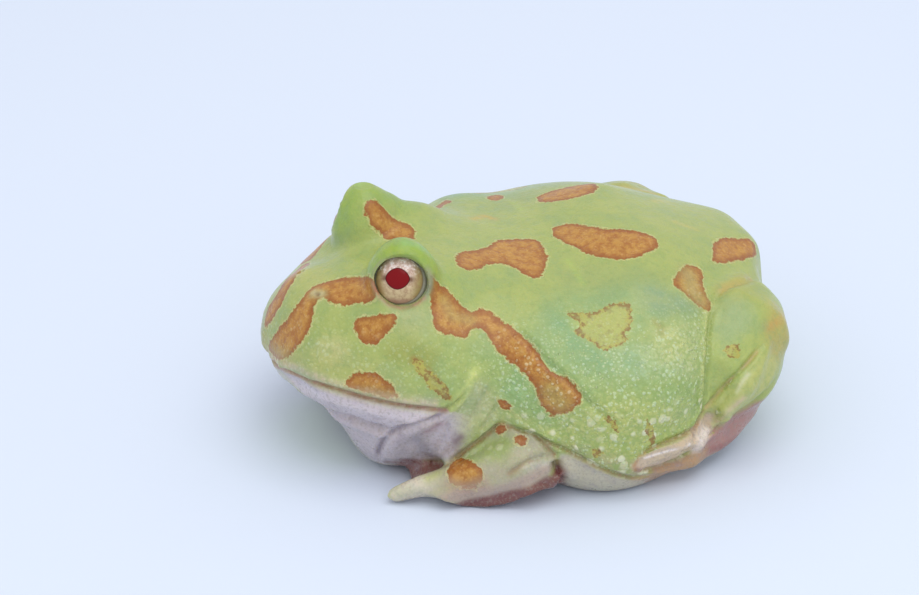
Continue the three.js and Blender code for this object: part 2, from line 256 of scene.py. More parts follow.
# Pulls on the surface: the pixel, its reach in mm, and the move right, up and towards the camera in mm
PULLS = {
    "rump": ((748, 238), 4.0, (0.9, 0.0, 0.0)),
    "hip": ((766, 272), 3.0, (-1.2, 0.0, 0.0)),
    "low_flank": ((664, 455), 4.0, (0.0, 0.0, -1.2)),
    "shank": ((784, 345), 6.0, (0.6, 0.0, 0.0)),
    "calf": ((790, 382), 4.5, (-1.8, 0.2, 0.0)),
    "heel": ((757, 426), 5.0, (-0.4, 0.4, 0.0)),
    "hind_edge": ((688, 458), 4.0, (0.8, -1.6, 0.0)),
    "belly_edge": ((572, 482), 6.0, (0.0, -0.4, 1.0)),
    "chin": ((318, 416), 4.5, (2.6, 1.0, 0.0)),
    "jaw_front": ((286, 382), 4.5, (1.2, 0.9, 0.0)),
    "throat": ((374, 456), 5.5, (-0.2, -1.5, 0.0)),
    "snout": ((262, 330), 6.5, (2.8, 0.0, 0.0)),
}
# Pulls on one side only
FAR_PULLS = {
    "horn": ((340, 206), 5.5, (0.7, 0.0, 0.0)),
    "horn_top": ((368, 192), 4.0, (0.0, 0.9, 0.0)),
    "horn_rear": ((400, 213), 3.5, (0.4, 1.6, 0.0)),
    "nape": ((422, 218), 5.0, (0.0, 2.8, 0.0)),
    "nape_rear": ((438, 205), 4.5, (0.0, 1.0, 0.0)),
    "back": ((462, 202), 6.5, (0.0, 1.5, 0.0)),
    "brow": ((318, 250), 5.0, (1.8, -0.6, 0.0)),
    "far_side": ((598, 184), 2.5, (0.0, 0.7, 0.0)),
    "far_hip": ((644, 179), 6.0, (0.0, -1.6, 0.0)),
}

# Lines raised, or carved where the height is negative: pixels, then half width and height in mm
STROKES = {
    "mouth": (
        [(262, 352), (268, 357), (275, 363)] + MOUTH + [(455, 403), (464, 394), (471, 380)],
        0.32, -0.6),
    "lower_lip": (
        [(272, 367), (283, 377), (300, 386), (323, 396), (345, 403), (369, 410), (397, 416), (420, 418),
         (438, 415)], 1.25, 0.6),
    "under_lip": ([(277, 383), (300, 398), (323, 410), (352, 418), (369, 425), (398, 431)], 0.6, -1.1),
    "upper_lip": (
        [(272, 356), (287, 364), (305, 371), (330, 380), (355, 388), (380, 395), (405, 400), (430, 404)],
        0.7, 0.3),
    "throat_fold": (THROAT_FOLD + [(379, 462)], 0.4, -0.6),
    "throat_flap": ([(436, 423), (412, 431), (397, 440), (390, 451), (390, 460)], 1.2, 0.5),
    "neck_line": ([(449, 421), (446, 433), (440, 446), (435, 453)], 0.3, -0.3),
    "neck_ridge": ([(474, 372), (468, 386), (460, 397), (450, 407)], 0.8, 0.5),
    "neck_fold": ([(488, 384), (481, 400), (473, 415), (461, 430)], 0.35, -0.35),
    "armpit_fold": ([(498, 402), (491, 417), (480, 431)], 0.35, -0.35),
    "arm_top": (ARM_TOP, 0.32, -0.55),
    "hem": (HEM, 0.28, -0.45),
    "hem_edge": (
        [(505, 418), (521, 423), (538, 428), (554, 436), (579, 447), (597, 457), (614, 464), (632, 470),
         (650, 469)], 0.8, 0.3),
    "elbow": ([(534, 434), (545, 444), (555, 457)], 0.4, -0.5),
    "forearm": ([(507, 474), (519, 466), (532, 459), (545, 456), (554, 458)], 0.35, -0.4),
    "elbow_gap": ([(555, 460), (558, 470), (562, 482)], 0.7, -1.2),
    "thigh": (
        [(714, 306), (710, 320), (708, 340), (707, 360), (706, 380), (704, 400), (703, 411)], 0.32, -0.5),
    "thigh_top": ([(714, 306), (716, 296), (723, 289), (735, 284), (748, 281), (757, 277)], 0.6, -0.5),
    "leg_fold": ([(763, 343), (748, 362), (735, 375), (722, 388), (712, 400), (703, 411)], 0.32, -0.55),
    "toe_gap": ([(703, 411), (697, 421), (693, 432), (694, 445)], 0.4, -0.8),
    "sole": ([(777, 375), (758, 397), (738, 412), (718, 427), (706, 442)], 0.5, -0.5),
    "toe_top": ([(697, 424), (686, 433), (670, 440), (654, 447), (640, 455)], 0.35, -0.6),
    "toe_under": ([(640, 470), (660, 467), (680, 458), (697, 450)], 0.35, -0.6),
    "stripe_fold": (
        [(510, 324), (532, 343), (545, 361), (560, 373), (583, 397), (600, 412), (613, 425)], 0.45, -0.5),
}

# Swellings and pits: the pixel, its reach and its height in mm
DABS = {
    "nostril_ring": ((317.5, 293.5), 1.1, 0.4),
    "nostril": ((317.5, 294.5), 0.45, -1.3),
    "under_eye": ((392, 312), 3.0, 0.35),
    "calf": ((752, 392), 2.5, 0.5),
    "wrist": ((466, 470), 2.2, 0.3),
}

# Places smoothed less than the rest: round the eyes, on the hands, which lie beyond an X, before a Y
# and below a Z, and along some pieces
FINE_EYE_REACH = 5.8
FINE_HAND_CORNER = (18.0, -14.0, 5.0)
FINE_PIECES = ("long_toe", "outer_toe", "palm_edge_shadow")
FINE_PIECE_REACH = 2.5

# Places refined to finer faces: pixels and reach in mm
FINE_PLACES = [
    ([(268, 358), (300, 378), (340, 392), (386, 406), (446, 412), (470, 384)], 3.0),
    ([(382, 246), (410, 244), (432, 262), (426, 300), (402, 308), (376, 296), (370, 270)], 3.2),
    ([(318, 294)], 2.5),
    ([(380, 462), (383, 440), (403, 426), (440, 415)], 1.5),
    ([(390, 494), (420, 484), (450, 466), (480, 440), (501, 423)], 3.0),
    ([(430, 490), (480, 485), (530, 470), (555, 458), (558, 480)], 3.0),
    ([(501, 423), (534, 434), (576, 454), (612, 472), (650, 476)], 2.0),
    ([(636, 466), (670, 450), (703, 430), (730, 405), (765, 360)], 3.0),
    ([(712, 306), (708, 340), (705, 380), (703, 411)], 1.6),
]

# Paints of the skin and eyes in sRGB
PAINTS = {
    "belly": (168, 160, 146),
    "straw": (178, 184, 104),
    "sage": (140, 164, 110),
    "moss": (126, 152, 88),
    "freckle": (148, 138, 128),
    "bruise": (138, 124, 136),
    # The pale tiny_grain and grain dots are partly the granules' own colour and partly painted glints
    "tiny_grain": (214, 224, 176),
    "grain_gap": (132, 158, 84),
    "grain": (206, 226, 188),
    "wart_gap": (146, 168, 72),
    "wart": (222, 222, 188),
    "smudge": (176, 168, 76),
    "smudge_streak": (136, 98, 40),
    "blotch_light": (188, 138, 58),
    "blotch_tiny_grain": (216, 172, 106),
    "blotch_grain": (226, 204, 160),
    "blotch_wart": (218, 192, 146),
    "blotch_streak": (150, 84, 30),
    "iris_low": (204, 182, 140),
    # The iris's pale top is partly its own silvery pink and partly a painted highlight, and its gleam is a
    # painted highlight
    "iris_high": (238, 212, 206),
    "iris_side": (152, 136, 72),
    "iris_streak": (152, 114, 84),
    "iris_gleam": (246, 236, 236),
    "iris_wedge": (96, 58, 34),
    "iris_foot": (166, 122, 112),
    "iris_ring": (110, 106, 90),
    "eyeball": (190, 184, 172),
    "pupil_edge": (64, 6, 16),
}

# Skin colours of places, from the first to the last laid: a line or point in mm, its reach in mm,
# how fully it covers, and the colour in sRGB
PLACES = {
    "flank": ([(34, -2, 19), (35, 6, 17), (34, 13, 14)], 8, 0.5, (138, 174, 122)),
    "shoulder": ([(26, -8, 21), (28, -3, 12)], 6, 0.5, (128, 178, 130)),
    "lower_flank": ([(33, -1, 8), (34, 8, 7), (33, 15, 8)], 7, 0.85, (158, 180, 92)),
    "cheek": ([(24, -28, 20), (25, -20, 20)], 6, 0.5, (160, 182, 112)),
    "eyelid": ([(9.5, -24, 33), (10, -20, 36), (11, -17, 34)], 4.2, 0.9, (132, 168, 66)),
    "under_eye": ([(14.6, -22, 26)], 3.2, 0.6, (176, 176, 130)),
    "leg": ([(26, 24, 18), (22, 32, 20)], 8, 0.5, (164, 180, 96)),
    "foot": ([(24, 32, 6), (28, 24, 4)], 4, 0.8, (178, 176, 108)),
}

# Faces that turn down are belly up to a height in mm: how fast that comes with their slope, and from where
BELLY_SLOPE = 1.6
BELLY_START = 0.3
BELLY_TOP = 6.0

# Colours laid over places: outline in pixels, softness in mm, how fully it covers, and the colour in sRGB
PATCHES = {
    "throat": (
        [(446, 410), (432, 409), (386, 402), (340, 390), (300, 376), (283, 369), (268, 358), (262, 362),
         (290, 410), (330, 440), (350, 462), (380, 474), (426, 474), (447, 465), (464, 450), (474, 436),
         (470, 420), (464, 408), (458, 402)], 0.9, 1.0, (186, 176, 182)),
    "neck": (
        [(452, 408), (464, 396), (472, 378), (486, 384), (498, 400), (500, 423), (482, 436), (466, 446),
         (458, 436), (456, 420)], 1.6, 0.8, (182, 182, 140)),
    "arm": (
        [(398, 482), (424, 470), (447, 464), (458, 456), (476, 439), (501, 423), (518, 429), (534, 434),
         (550, 443), (557, 458), (552, 474), (541, 486), (523, 498), (500, 508), (469, 512), (424, 506),
         (403, 508), (384, 504)], 0.5, 1.0, (172, 165, 142)),
    "arm_green": (
        [(448, 468), (462, 452), (478, 441), (494, 430), (508, 432), (516, 441), (512, 454), (498, 462),
         (478, 462), (458, 470)], 1.2, 0.75, (152, 170, 96)),
    "hand": (
        [(384, 504), (396, 482), (424, 470), (440, 466), (446, 478), (432, 500), (404, 508)],
        0.8, 0.85, (208, 198, 176)),
    "palm": (
        [(440, 494), (470, 488), (500, 486), (523, 476), (548, 462), (553, 466), (542, 478), (524, 490),
         (500, 500), (470, 508), (440, 504)], 0.8, 0.6, (176, 150, 142)),
    "belly": (
        [(556, 456), (566, 451), (576, 455), (594, 464), (612, 472), (630, 478), (650, 477), (682, 468),
         (660, 488), (630, 500), (603, 504), (572, 500), (558, 484)], 0.5, 1.0, (186, 180, 158)),
    "cheek_olive": (
        [(384, 348), (400, 340), (424, 344), (440, 352), (436, 372), (410, 366), (388, 360)],
        1.5, 0.8, (144, 150, 70)),
    "temple": (
        [(330, 236), (352, 226), (366, 236), (372, 246), (350, 256), (332, 250)], 1.5, 0.4, (186, 190, 128)),
    "flank_top": (
        [(560, 262), (620, 266), (660, 270), (680, 290), (640, 296), (590, 296), (556, 290)],
        2.2, 0.6, (142, 160, 100)),
    "teal": (
        [(536, 312), (548, 296), (575, 288), (600, 292), (625, 284), (660, 286), (690, 300), (700, 318),
         (668, 322), (644, 330), (640, 352), (638, 376), (620, 388), (588, 378), (560, 356)],
        2.6, 0.6, (132, 166, 116)),
    "glints": (
        [(600, 350), (640, 345), (680, 348), (698, 362), (690, 378), (650, 380), (610, 372)],
        1.4, 0.45, (176, 200, 166)),
    "teal_deep": (
        [(546, 318), (566, 312), (584, 338), (606, 352), (630, 352), (640, 366), (616, 376), (584, 364),
         (560, 346)], 1.8, 0.6, (122, 164, 116)),
    "teal_grey": (
        [(640, 284), (672, 290), (694, 304), (698, 316), (660, 316), (640, 306)], 2.0, 0.7, (136, 160, 128)),
    "rear_flank": (
        [(652, 322), (674, 322), (698, 318), (704, 340), (704, 370), (690, 380), (668, 370), (654, 350)],
        1.8, 0.7, (180, 190, 132)),
    "low_flank": (
        [(560, 418), (590, 404), (620, 396), (660, 404), (696, 400), (694, 424), (664, 440), (636, 462),
         (606, 462), (578, 446), (552, 434)], 2.2, 0.8, (182, 188, 112)),
    "behind_neck": (
        [(500, 384), (520, 382), (536, 394), (534, 410), (512, 408), (500, 400)], 1.2, 0.6, (146, 184, 126)),
    "knee": ([(722, 290), (770, 286), (766, 306), (726, 308)], 1.6, 0.6, (156, 162, 84)),
    "cheek_pale": ([(318, 338), (344, 336), (352, 356), (330, 366), (312, 356)], 1.4, 0.5, (206, 196, 150)),
    "hip_pale": ([(660, 326), (682, 334), (688, 352), (672, 362), (660, 348)], 1.4, 0.6, (196, 202, 140)),
    "beige_hem": (
        [(556, 440), (580, 444), (606, 452), (640, 460), (652, 474), (625, 476), (595, 465), (566, 450)],
        1.0, 0.7, (168, 156, 122)),
    "yellow_hem": (
        [(503, 412), (524, 414), (546, 424), (560, 436), (548, 438), (520, 427), (502, 421)],
        1.0, 0.8, (196, 198, 128)),
    "side_patch": (
        [(570, 318), (596, 316), (612, 304), (632, 306), (630, 340), (612, 350), (592, 346), (574, 330)],
        1.2, 0.7, (182, 192, 108)),
    "cheek_low": (
        [(280, 356), (300, 346), (330, 352), (360, 352), (400, 372), (404, 392), (360, 378), (320, 376),
         (296, 368)], 1.6, 0.6, (180, 180, 108)),
    "upper_lip": (
        [(268, 350), (300, 366), (340, 380), (390, 394), (440, 402), (446, 410), (386, 402), (340, 390),
         (300, 376), (266, 358)], 0.7, 0.65, (190, 172, 158)),
    "snout_side": (
        [(270, 330), (300, 300), (316, 268), (330, 262), (330, 280), (316, 300), (310, 330), (290, 352)],
        1.8, 0.4, (186, 180, 108)),
    "thigh_grey": (
        [(716, 300), (742, 300), (756, 318), (748, 336), (722, 340), (712, 324)], 2.0, 0.5, (150, 168, 124)),
    "thigh_edge": (
        [(764, 300), (778, 304), (790, 330), (786, 356), (772, 368), (764, 344), (768, 322)],
        1.6, 0.8, (176, 160, 84)),
    "foot_band": (
        [(770, 348), (780, 366), (758, 396), (738, 411), (718, 426), (706, 441), (692, 452), (694, 436),
         (703, 412), (722, 389), (748, 363)], 0.8, 0.6, (186, 184, 116)),
    "elbow_tip": (
        [(540, 436), (556, 446), (561, 462), (556, 470), (548, 462), (536, 448)],
        0.7, 0.85, (170, 160, 132)),
    # The sole's pink is partly its own colour and partly painted shade on the foot's shaded side
    "sole": (
        [(768, 396), (764, 420), (740, 440), (706, 460), (696, 456), (706, 441), (718, 427), (738, 412),
         (758, 398)], 0.6, 0.9, (168, 118, 120)),
    "toes": (
        [(718, 418), (712, 436), (698, 454), (688, 450), (664, 464), (634, 474), (628, 462), (654, 446),
         (686, 434), (700, 418), (712, 412)], 0.5, 0.85, (204, 178, 158)),
}
# Patches with smooth pale skin, without green or grains
SMOOTH_PATCHES = ("throat", "belly", "hand", "palm", "sole", "toes")

# Coloured lines: pixels, half width in mm, how fully it covers, and the colour in sRGB
LINES = {
    "lower_lip": (
        [(270, 367), (283, 377), (300, 386), (323, 396), (345, 403), (369, 411), (397, 417), (420, 418)],
        1.4, 0.9, (206, 196, 202)),
    "upper_lip": (
        [(270, 356), (287, 365), (305, 372), (330, 382), (355, 389), (380, 396), (405, 401), (434, 404)],
        0.75, 0.75, (200, 180, 168)),
    "throat_fold": (THROAT_FOLD, 0.3, 0.6, (118, 100, 116)),
    # Painted shadow: dark red-brown under the throat's edge, over the hand
    "throat_shadow": ([(386, 462), (405, 463), (420, 464)], 0.5, 0.8, (126, 86, 80)),
    "finger": ([(392, 494), (405, 489), (420, 484)], 2.2, 0.9, (214, 204, 186)),
    "finger_green": ([(428, 478), (438, 473)], 0.9, 0.5, (176, 186, 96)),
    "hip_brown": ([(655, 322), (661, 326), (661, 334)], 0.6, 0.6, (146, 136, 62)),
    "outer_toe_side": ([(744, 398), (730, 410), (717, 422), (707, 434)], 0.5, 0.7, (212, 184, 166)),
    "armpit_rust": ([(496, 428), (502, 424), (508, 426)], 0.6, 0.8, (150, 104, 56)),
    "flank_fade": ([(688, 274), (692, 290), (700, 300)], 1.6, 0.6, (180, 150, 112)),
    "lip_fade": ([(350, 391), (372, 394), (394, 398)], 0.9, 0.6, (186, 156, 148)),
    "snout_fade": ([(274, 350), (286, 356)], 1.3, 0.4, (176, 138, 120)),
    "wrist_fade": ([(452, 485), (466, 489), (482, 484)], 1.1, 0.6, (178, 142, 124)),
    "eye_fade": ([(444, 300), (452, 316), (470, 320)], 1.0, 0.3, (196, 164, 112)),
    "blob_fade": ([(550, 392), (562, 404)], 1.6, 0.35, (180, 170, 110)),
    "jowl": ([(418, 366), (430, 380), (442, 394)], 0.7, 0.5, (180, 162, 90)),
    "jowl_edge": (
        [(411, 362), (413, 356), (420, 360), (428, 368), (438, 378), (446, 390), (451, 399)],
        0.26, 0.6, (138, 100, 44)),
    "nape_spot": ([(474, 219), (484, 216), (494, 219)], 0.7, 0.7, (198, 160, 72)),
    "rump_spot": ([(676, 222), (686, 226), (695, 229)], 0.7, 0.6, (196, 184, 92)),
    "lid_rim": (
        [(377, 292), (373, 282), (374, 270), (380, 262), (389, 258.5)] + EYE_OPENING[4:11],
        0.35, 0.7, (150, 146, 120)),
    "nostril_ring": ([(314, 293), (321, 294)], 0.9, 0.8, (206, 196, 160)),
    # Painted shade: dark brown in the nostril's pit
    "nostril": ([(316.5, 294.5), (319, 295)], 0.35, 0.8, (120, 96, 80)),
    "throat_spot": ([(456, 441), (461, 437)], 0.6, 0.8, (112, 84, 92)),
    "throat_blue": ([(416, 438), (424, 446), (430, 454)], 1.2, 0.5, (124, 122, 138)),
    "throat_red": ([(426, 432), (434, 428), (440, 424)], 0.6, 0.5, (146, 108, 120)),
    # Painted highlight: a pale line along the neck's ridge
    "neck_ridge": ([(476, 368), (470, 384), (462, 396), (452, 406)], 0.8, 0.8, (196, 206, 120)),
    "hem": ([(x, y + 1) for x, y in HEM], 0.3, 0.9, (146, 108, 62)),
    "arm_top": ([(x, y + 1) for x, y in ARM_TOP], 0.35, 0.9, (152, 104, 58)),
    "forearm": ([(510, 473), (519, 467), (530, 462)], 0.5, 0.7, (146, 104, 90)),
    "elbow_pale": ([(526, 468), (538, 464), (550, 462)], 0.6, 0.5, (206, 200, 196)),
    # Painted shadow: dark red-brown in the gap between the elbow and the belly
    "elbow_gap": ([(557, 466), (559, 474), (562, 484)], 0.9, 1.0, (98, 58, 56)),
    "elbow_rim": ([(532, 434), (544, 443), (555, 455), (557, 462)], 0.3, 0.8, (150, 110, 66)),
    "thigh_rim": ([(706, 312), (705, 340), (704, 365), (702, 390)], 0.5, 0.6, (204, 206, 140)),
    "leg_rim": ([(757, 352), (745, 366), (730, 380), (716, 396), (706, 407)], 0.35, 0.7, (212, 172, 128)),
    "toe_gap": ([(703, 411), (698, 420), (694, 430)], 0.3, 0.7, (150, 104, 66)),
    "long_toe_rim": (
        [(634, 466), (640, 455), (654, 447), (670, 440), (686, 433), (697, 424)], 0.35, 0.8, (176, 136, 84)),
    "long_toe_low": ([(636, 470), (650, 472), (664, 468), (680, 460), (698, 451)], 0.5, 0.9, (146, 96, 62)),
    "long_toe_under": (
        [(640, 476), (656, 475), (674, 469), (690, 461), (704, 453)], 1.2, 0.85, (182, 150, 112)),
    "long_toe_shine": ([(645, 458), (657, 454), (672, 450), (690, 444)], 0.22, 0.9, (236, 226, 220)),
    "toe_tip": ([(706, 430), (701, 440), (696, 450)], 0.9, 0.95, (226, 214, 204)),
    "thigh_top": ([(722, 290), (736, 284), (752, 281)], 1.1, 0.7, (190, 158, 88)),
    # Painted highlights: small pale glints on the shank
    "shank_glints": ([(748, 374), (741, 384), (737, 392)], 0.35, 0.45, (222, 220, 196)),
    "sole_dark": ([(706, 452), (722, 447), (738, 439)], 0.7, 0.6, (140, 78, 74)),
    "thigh_side": ([(768, 328), (776, 322), (786, 316)], 0.8, 0.6, (196, 148, 80)),
    "green_line": ([(567, 260), (575, 270), (583, 284)], 0.5, 0.5, (168, 190, 92)),
    "lid": (
        [(372, 262), (378, 254), (390, 249), (405, 247), (418, 250), (428, 258), (434, 268)],
        1.0, 0.9, (146, 172, 52)),
    "lid_teal": ([(405, 243), (420, 247), (432, 256)], 0.8, 0.5, (142, 192, 120)),
    "eye_corner": ([(428, 272), (431, 279), (430, 286), (426, 293)], 0.7, 0.9, (136, 136, 122)),
    "eye_corner_dark": ([(434, 276), (436, 284), (433, 292)], 0.4, 0.6, (120, 96, 64)),
    "lower_lid": (
        [(373, 284), (380, 297), (390, 305), (402, 308), (414, 305), (424, 298)],
        0.45, 0.8, (182, 134, 118)),
    "mouth": ([(262, 354), (275, 364)] + MOUTH, 0.38, 0.9, (168, 108, 98)),
    "eye_front": ([(374, 284), (378, 292)], 0.6, 0.7, (176, 104, 84)),
}
# Lines that show over the blotches
OVER_MARKINGS = (
    "nostril_ring", "nostril", "mouth", "eye_corner", "eye_front", "lower_lid", "thigh_rim", "flank_fade",
    "lip_fade", "snout_fade", "wrist_fade", "eye_fade", "blob_fade")

# Undersides and painted shadows: the ranges of X and Y in mm, their height at the first and the last Y,
# how fully the colour covers what lies lower, and the colour in sRGB. They fade at their edges and ends
# over some mm. The chest's dark red-brown is painted shadow under the throat, and the arm's is painted
# contact shadow on the underside of the arm and hand; the toes' is their own underside colour.
UNDERSIDES_AND_SHADOWS = {
    "chest_shadow": ((8.0, 22.4), (-25.0, -12.0), (4.3, 4.5), 1.0, (126, 82, 74)),
    "arm": ((23.5, 40.0), (-22.0, -4.0), (0.4, 6.0), 0.95, (112, 62, 60)),
    "toes": ((30.0, 40.0), (9.0, 19.0), (4.6, 5.4), 0.85, (172, 136, 104)),
}
UNDER_FADE = 0.5
UNDER_END_FADE = 0.8

# Regions of grains and of warts: the places of their edges in mm, each with the width of its fade. The
# cheeks' front edge lies ahead of the snout, so their grains reach it.
FLANK_GRAINS = {"top": (27, 6), "front": (-19, 10), "rear": (27, 5)}
CHEEK_GRAINS = {"top": (28, 6), "front": (-60, 10), "rear": (-10, 6)}
WARTS = {"top": (16, 4), "front": (-12, 4), "rear": (26, 5)}

# The folded leg, which has hardly any grains, outlined in pixels, and its softness in mm
LEG = [
    (712, 306), (707, 340), (704, 380), (703, 411), (696, 436), (720, 440), (760, 410), (787, 350),
    (785, 305), (757, 277), (722, 290)]
LEG_SOFTNESS = 0.6


def linear(rgb):
    """An sRGB colour of 0 to 255 in the linear values that sockets take"""
    return tuple(((c / 255 + 0.055) / 1.055) ** 2.4 if c > 10 else c / 255 / 12.92 for c in rgb)


def smoothstep(value, low, high):
    """0 below low, 1 above high, eased between"""
    t = np.clip((value - low) / (high - low), 0, 1)
    return t * t * (3 - 2 * t)


def before(value, edge, width):
    """1 well before an edge and 0 past it, with an even fade between"""
    return np.clip((edge - value) / width, 0, 1)


def past(value, edge, width):
    """0 before an edge and 1 well past it, with an even fade between"""
    return np.clip((value - edge) / width, 0, 1)


def camera_axes():
    """Centre of the camera, and its axes to the right, up and back, in mm"""
    turn, height = math.radians(CAMERA_TURN), math.radians(CAMERA_HEIGHT)
    back = Vector((math.sin(turn) * math.cos(height), -math.cos(turn) * math.cos(height), math.sin(height)))
    right = Vector((math.cos(turn), math.sin(turn), 0))
    return Vector(CAMERA_AIM) + back * CAMERA_DISTANCE, right, back.cross(right), back


def ray_through(pixel):
    """The camera's centre and the direction through a pixel, in mm"""
    centre, right, up, back = camera_axes()
    reach = LENS / SENSOR * PHOTO_SIZE[0]
    across = (pixel[0] - PHOTO_SIZE[0] / 2) / reach
    down = (pixel[1] - PHOTO_SIZE[1] / 2) / reach
    return centre, (right * across - up * down - back).normalized()


def line_distance(points, line):
    """Distance of each point from a line of points, and how far along the line it is, from 0 to 1"""
    nearest = np.full(len(points), np.inf)
    along = np.zeros(len(points))
    pieces = max(1, len(line) - 1)
    for i in range(pieces):
        a = np.array(line[i], float)
        b = np.array(line[min(i + 1, len(line) - 1)], float)
        run = b - a
        t = np.clip((points - a) @ run / max(run @ run, TINY), 0, 1)
        away = np.linalg.norm(points - a - t[:, None] * run, axis=1)
        closer = away < nearest
        nearest[closer] = away[closer]
        along[closer] = (i + t[closer]) / pieces
    return nearest, along


def rounded(outline, rounds=2):
    """A closed outline with its corners cut, which rounds it"""
    p = np.array(outline, float)
    for _ in range(rounds):
        q = np.roll(p, -1, axis=0)
        p = np.stack([p * 0.75 + q * 0.25, p * 0.25 + q * 0.75], 1).reshape(-1, p.shape[1])
    return p


def inside_distance(points, outline):
    """Signed distance of plane points from a closed outline, negative inside"""
    nearest = np.full(len(points), np.inf)
    inside = np.zeros(len(points), bool)
    for a, b in zip(outline, np.roll(outline, -1, axis=0)):
        run = b - a
        t = np.clip((points - a) @ run / max(run @ run, TINY), 0, 1)
        nearest = np.minimum(nearest, np.linalg.norm(points - a - t[:, None] * run, axis=1))
        crosses = (a[1] > points[:, 1]) != (b[1] > points[:, 1])
        with np.errstate(divide="ignore", invalid="ignore"):
            at = a[0] + (points[:, 1] - a[1]) * run[0] / run[1]
        inside ^= crosses & (points[:, 0] < at)
    return np.where(inside, -nearest, nearest)


class Clay:
    """The skin's points in mm while it is carved and painted"""

    def __init__(self, mesh):
        self.mesh = mesh
        count = len(mesh.vertices)
        self.co = np.empty(count * 3, np.float32)
        mesh.vertices.foreach_get("co", self.co)
        self.co = self.co.reshape(-1, 3).astype(float) / MM
        self.faces = [tuple(p.vertices) for p in mesh.polygons]
        self.settle()

    def settle(self):
        """Put the points back in the mesh, and take its new normals"""
        self.mesh.vertices.foreach_set("co", (self.co * MM).astype(np.float32).ravel())
        self.mesh.update()
        normal = np.empty(len(self.co) * 3, np.float32)
        self.mesh.vertices.foreach_get("normal", normal)
        self.normal = normal.reshape(-1, 3).astype(float)
        self.tree = BVHTree.FromPolygons([Vector(p) for p in self.co], self.faces)

    def under(self, pixel, beyond=None):
        """The point of the skin that the camera sees at a pixel, or the nearest to its line of sight

        Only what lies past X = beyond is seen, if that is given.
        """
        eye, sight = ray_through(pixel)
        if beyond is not None:
            eye += sight * (beyond - eye.x) / sight.x
        hit = self.tree.ray_cast(eye, sight)[0]
        if hit is None:
            middle = (Vector(CAMERA_AIM) - eye).dot(sight)
            stations = [eye + sight * (middle + step) for step in SIGHT_STEPS]
            found = [self.tree.find_nearest(station) for station in stations]
            hit = min(found, key=lambda near: near[3])[0]
        return hit

    def seen(self, pixels, beyond=None):
        """The points of the skin under a list of pixels"""
        return np.array([self.under(pixel, beyond) for pixel in pixels])

    def push(self, amount):
        """Move each point along its normal by an amount in mm"""
        self.co += self.normal * np.asarray(amount)[:, None]

    def near(self, line, reach):
        """How much of each point lies within reach of a line, from 0 to 1 and softly"""
        away, _ = line_distance(self.co, line)
        return np.exp(-((away / reach) ** 2))

    def stroke(self, line, half_width, height):
        """Raise a ridge along a line, or carve a groove with low banks where the height is negative"""
        away, along = line_distance(self.co, line)
        fade = np.clip(np.minimum(along, 1 - along) / STROKE_TAPER, 0, 1)
        shape = np.exp(-((away / half_width) ** 2))
        if height < 0:
            bank = (away - BANK_PLACE * half_width) / (BANK_WIDTH * half_width)
            shape -= BANK_HEIGHT * np.exp(-(bank ** 2))
        self.push(fade * height * shape)

    def pull(self, centre, reach, move):
        """Move the surface round a point, less and less out to about twice the reach"""
        share = np.exp(-((np.linalg.norm(self.co - centre, axis=1) / reach) ** 2))
        self.co += share[:, None] * np.array(move)

    def area(self, points):
        """Signed distance from an outline of points of the skin, measured in their own plane

        Only points that lie near that plane and face as its middle does count. The rest are far away.
        """
        outline = rounded(points)
        centre = outline.mean(0)
        _, _, axes = np.linalg.svd(outline - centre)
        flat = (outline - centre) @ axes.T
        result = np.full(len(self.co), FAR_AWAY)
        reach = np.linalg.norm(flat, axis=1).max() + FAR_AWAY
        close = np.nonzero(np.linalg.norm(self.co - centre, axis=1) < reach)[0]
        local = (self.co[close] - centre) @ axes.T
        facing = self.normal[close] @ axes[2]
        side = np.sign(facing[np.argmin(np.linalg.norm(local, axis=1))])
        depth = AREA_DEPTH + np.abs(flat[:, 2]).max()
        on = (np.abs(local[:, 2]) < depth) & (facing * side > LEAST_FACING)
        away = inside_distance(local[on, :2], flat[:, :2])
        result[close[on]] = np.minimum(away, FAR_AWAY)
        return result

    def share(self, pixels, softness):
        """How much of each point an outline of pixels covers, on both sides of the frog"""
        points = self.seen(pixels)
        away = np.minimum(self.area(points), self.area(points * MIRROR))
        return 1 - smoothstep(away, -softness, softness)

    def store(self, name, values):
        """Keep a value, or a colour, of each point as an attribute"""
        values = np.asarray(values, np.float32)
        if values.ndim == 1:
            self.mesh.attributes.new(name, "FLOAT", "POINT").data.foreach_set("value", values)
        else:
            rgba = np.ones((len(values), 4), np.float32)
            rgba[:, :3] = values
            self.mesh.attributes.new(name, "FLOAT_COLOR", "POINT").data.foreach_set("color", rgba.ravel())


def colour_property(name, description, rgb):
    """A colour that a user can change, from its default in sRGB"""
    return FloatVectorProperty(
        name=name, description=description, subtype="COLOR", size=3, default=linear(rgb), min=0, max=1)


class FrogSkinSettings(PropertyGroup):
    """Sizes and colours of the skin"""
    mesh_size: FloatProperty(
        name="Mesh Size", description="Edge length of the skin's faces",
        default=0.56 * MM, min=0.1 * MM, unit="LENGTH", precision=5)
    seam: FloatProperty(
        name="Seam", description="How far the frame's parts are grown to close the cuts between them",
        default=0.3 * MM, min=0.0, unit="LENGTH", precision=5)
    smoothing: IntProperty(
        name="Smoothing", description="Rounds of smoothing that hide the facets of the frame",
        default=12, min=0, max=60)
    base_colour: colour_property("Green", "Skin of the back", (158, 172, 96))
    blotch_colour: colour_property("Blotches", "Fill of the blotches", (164, 104, 30))
    margin_colour: colour_property("Blotch Margin", "Darker margin of the blotches", (140, 72, 12))
    rim_colour: colour_property("Blotch Rim", "Pale line round the blotches", (222, 214, 150))


class FrogEyeSettings(PropertyGroup):
    """Colour of the eyes"""
    pupil_colour: colour_property("Pupil", "Dark red of the pupil", (124, 6, 16))


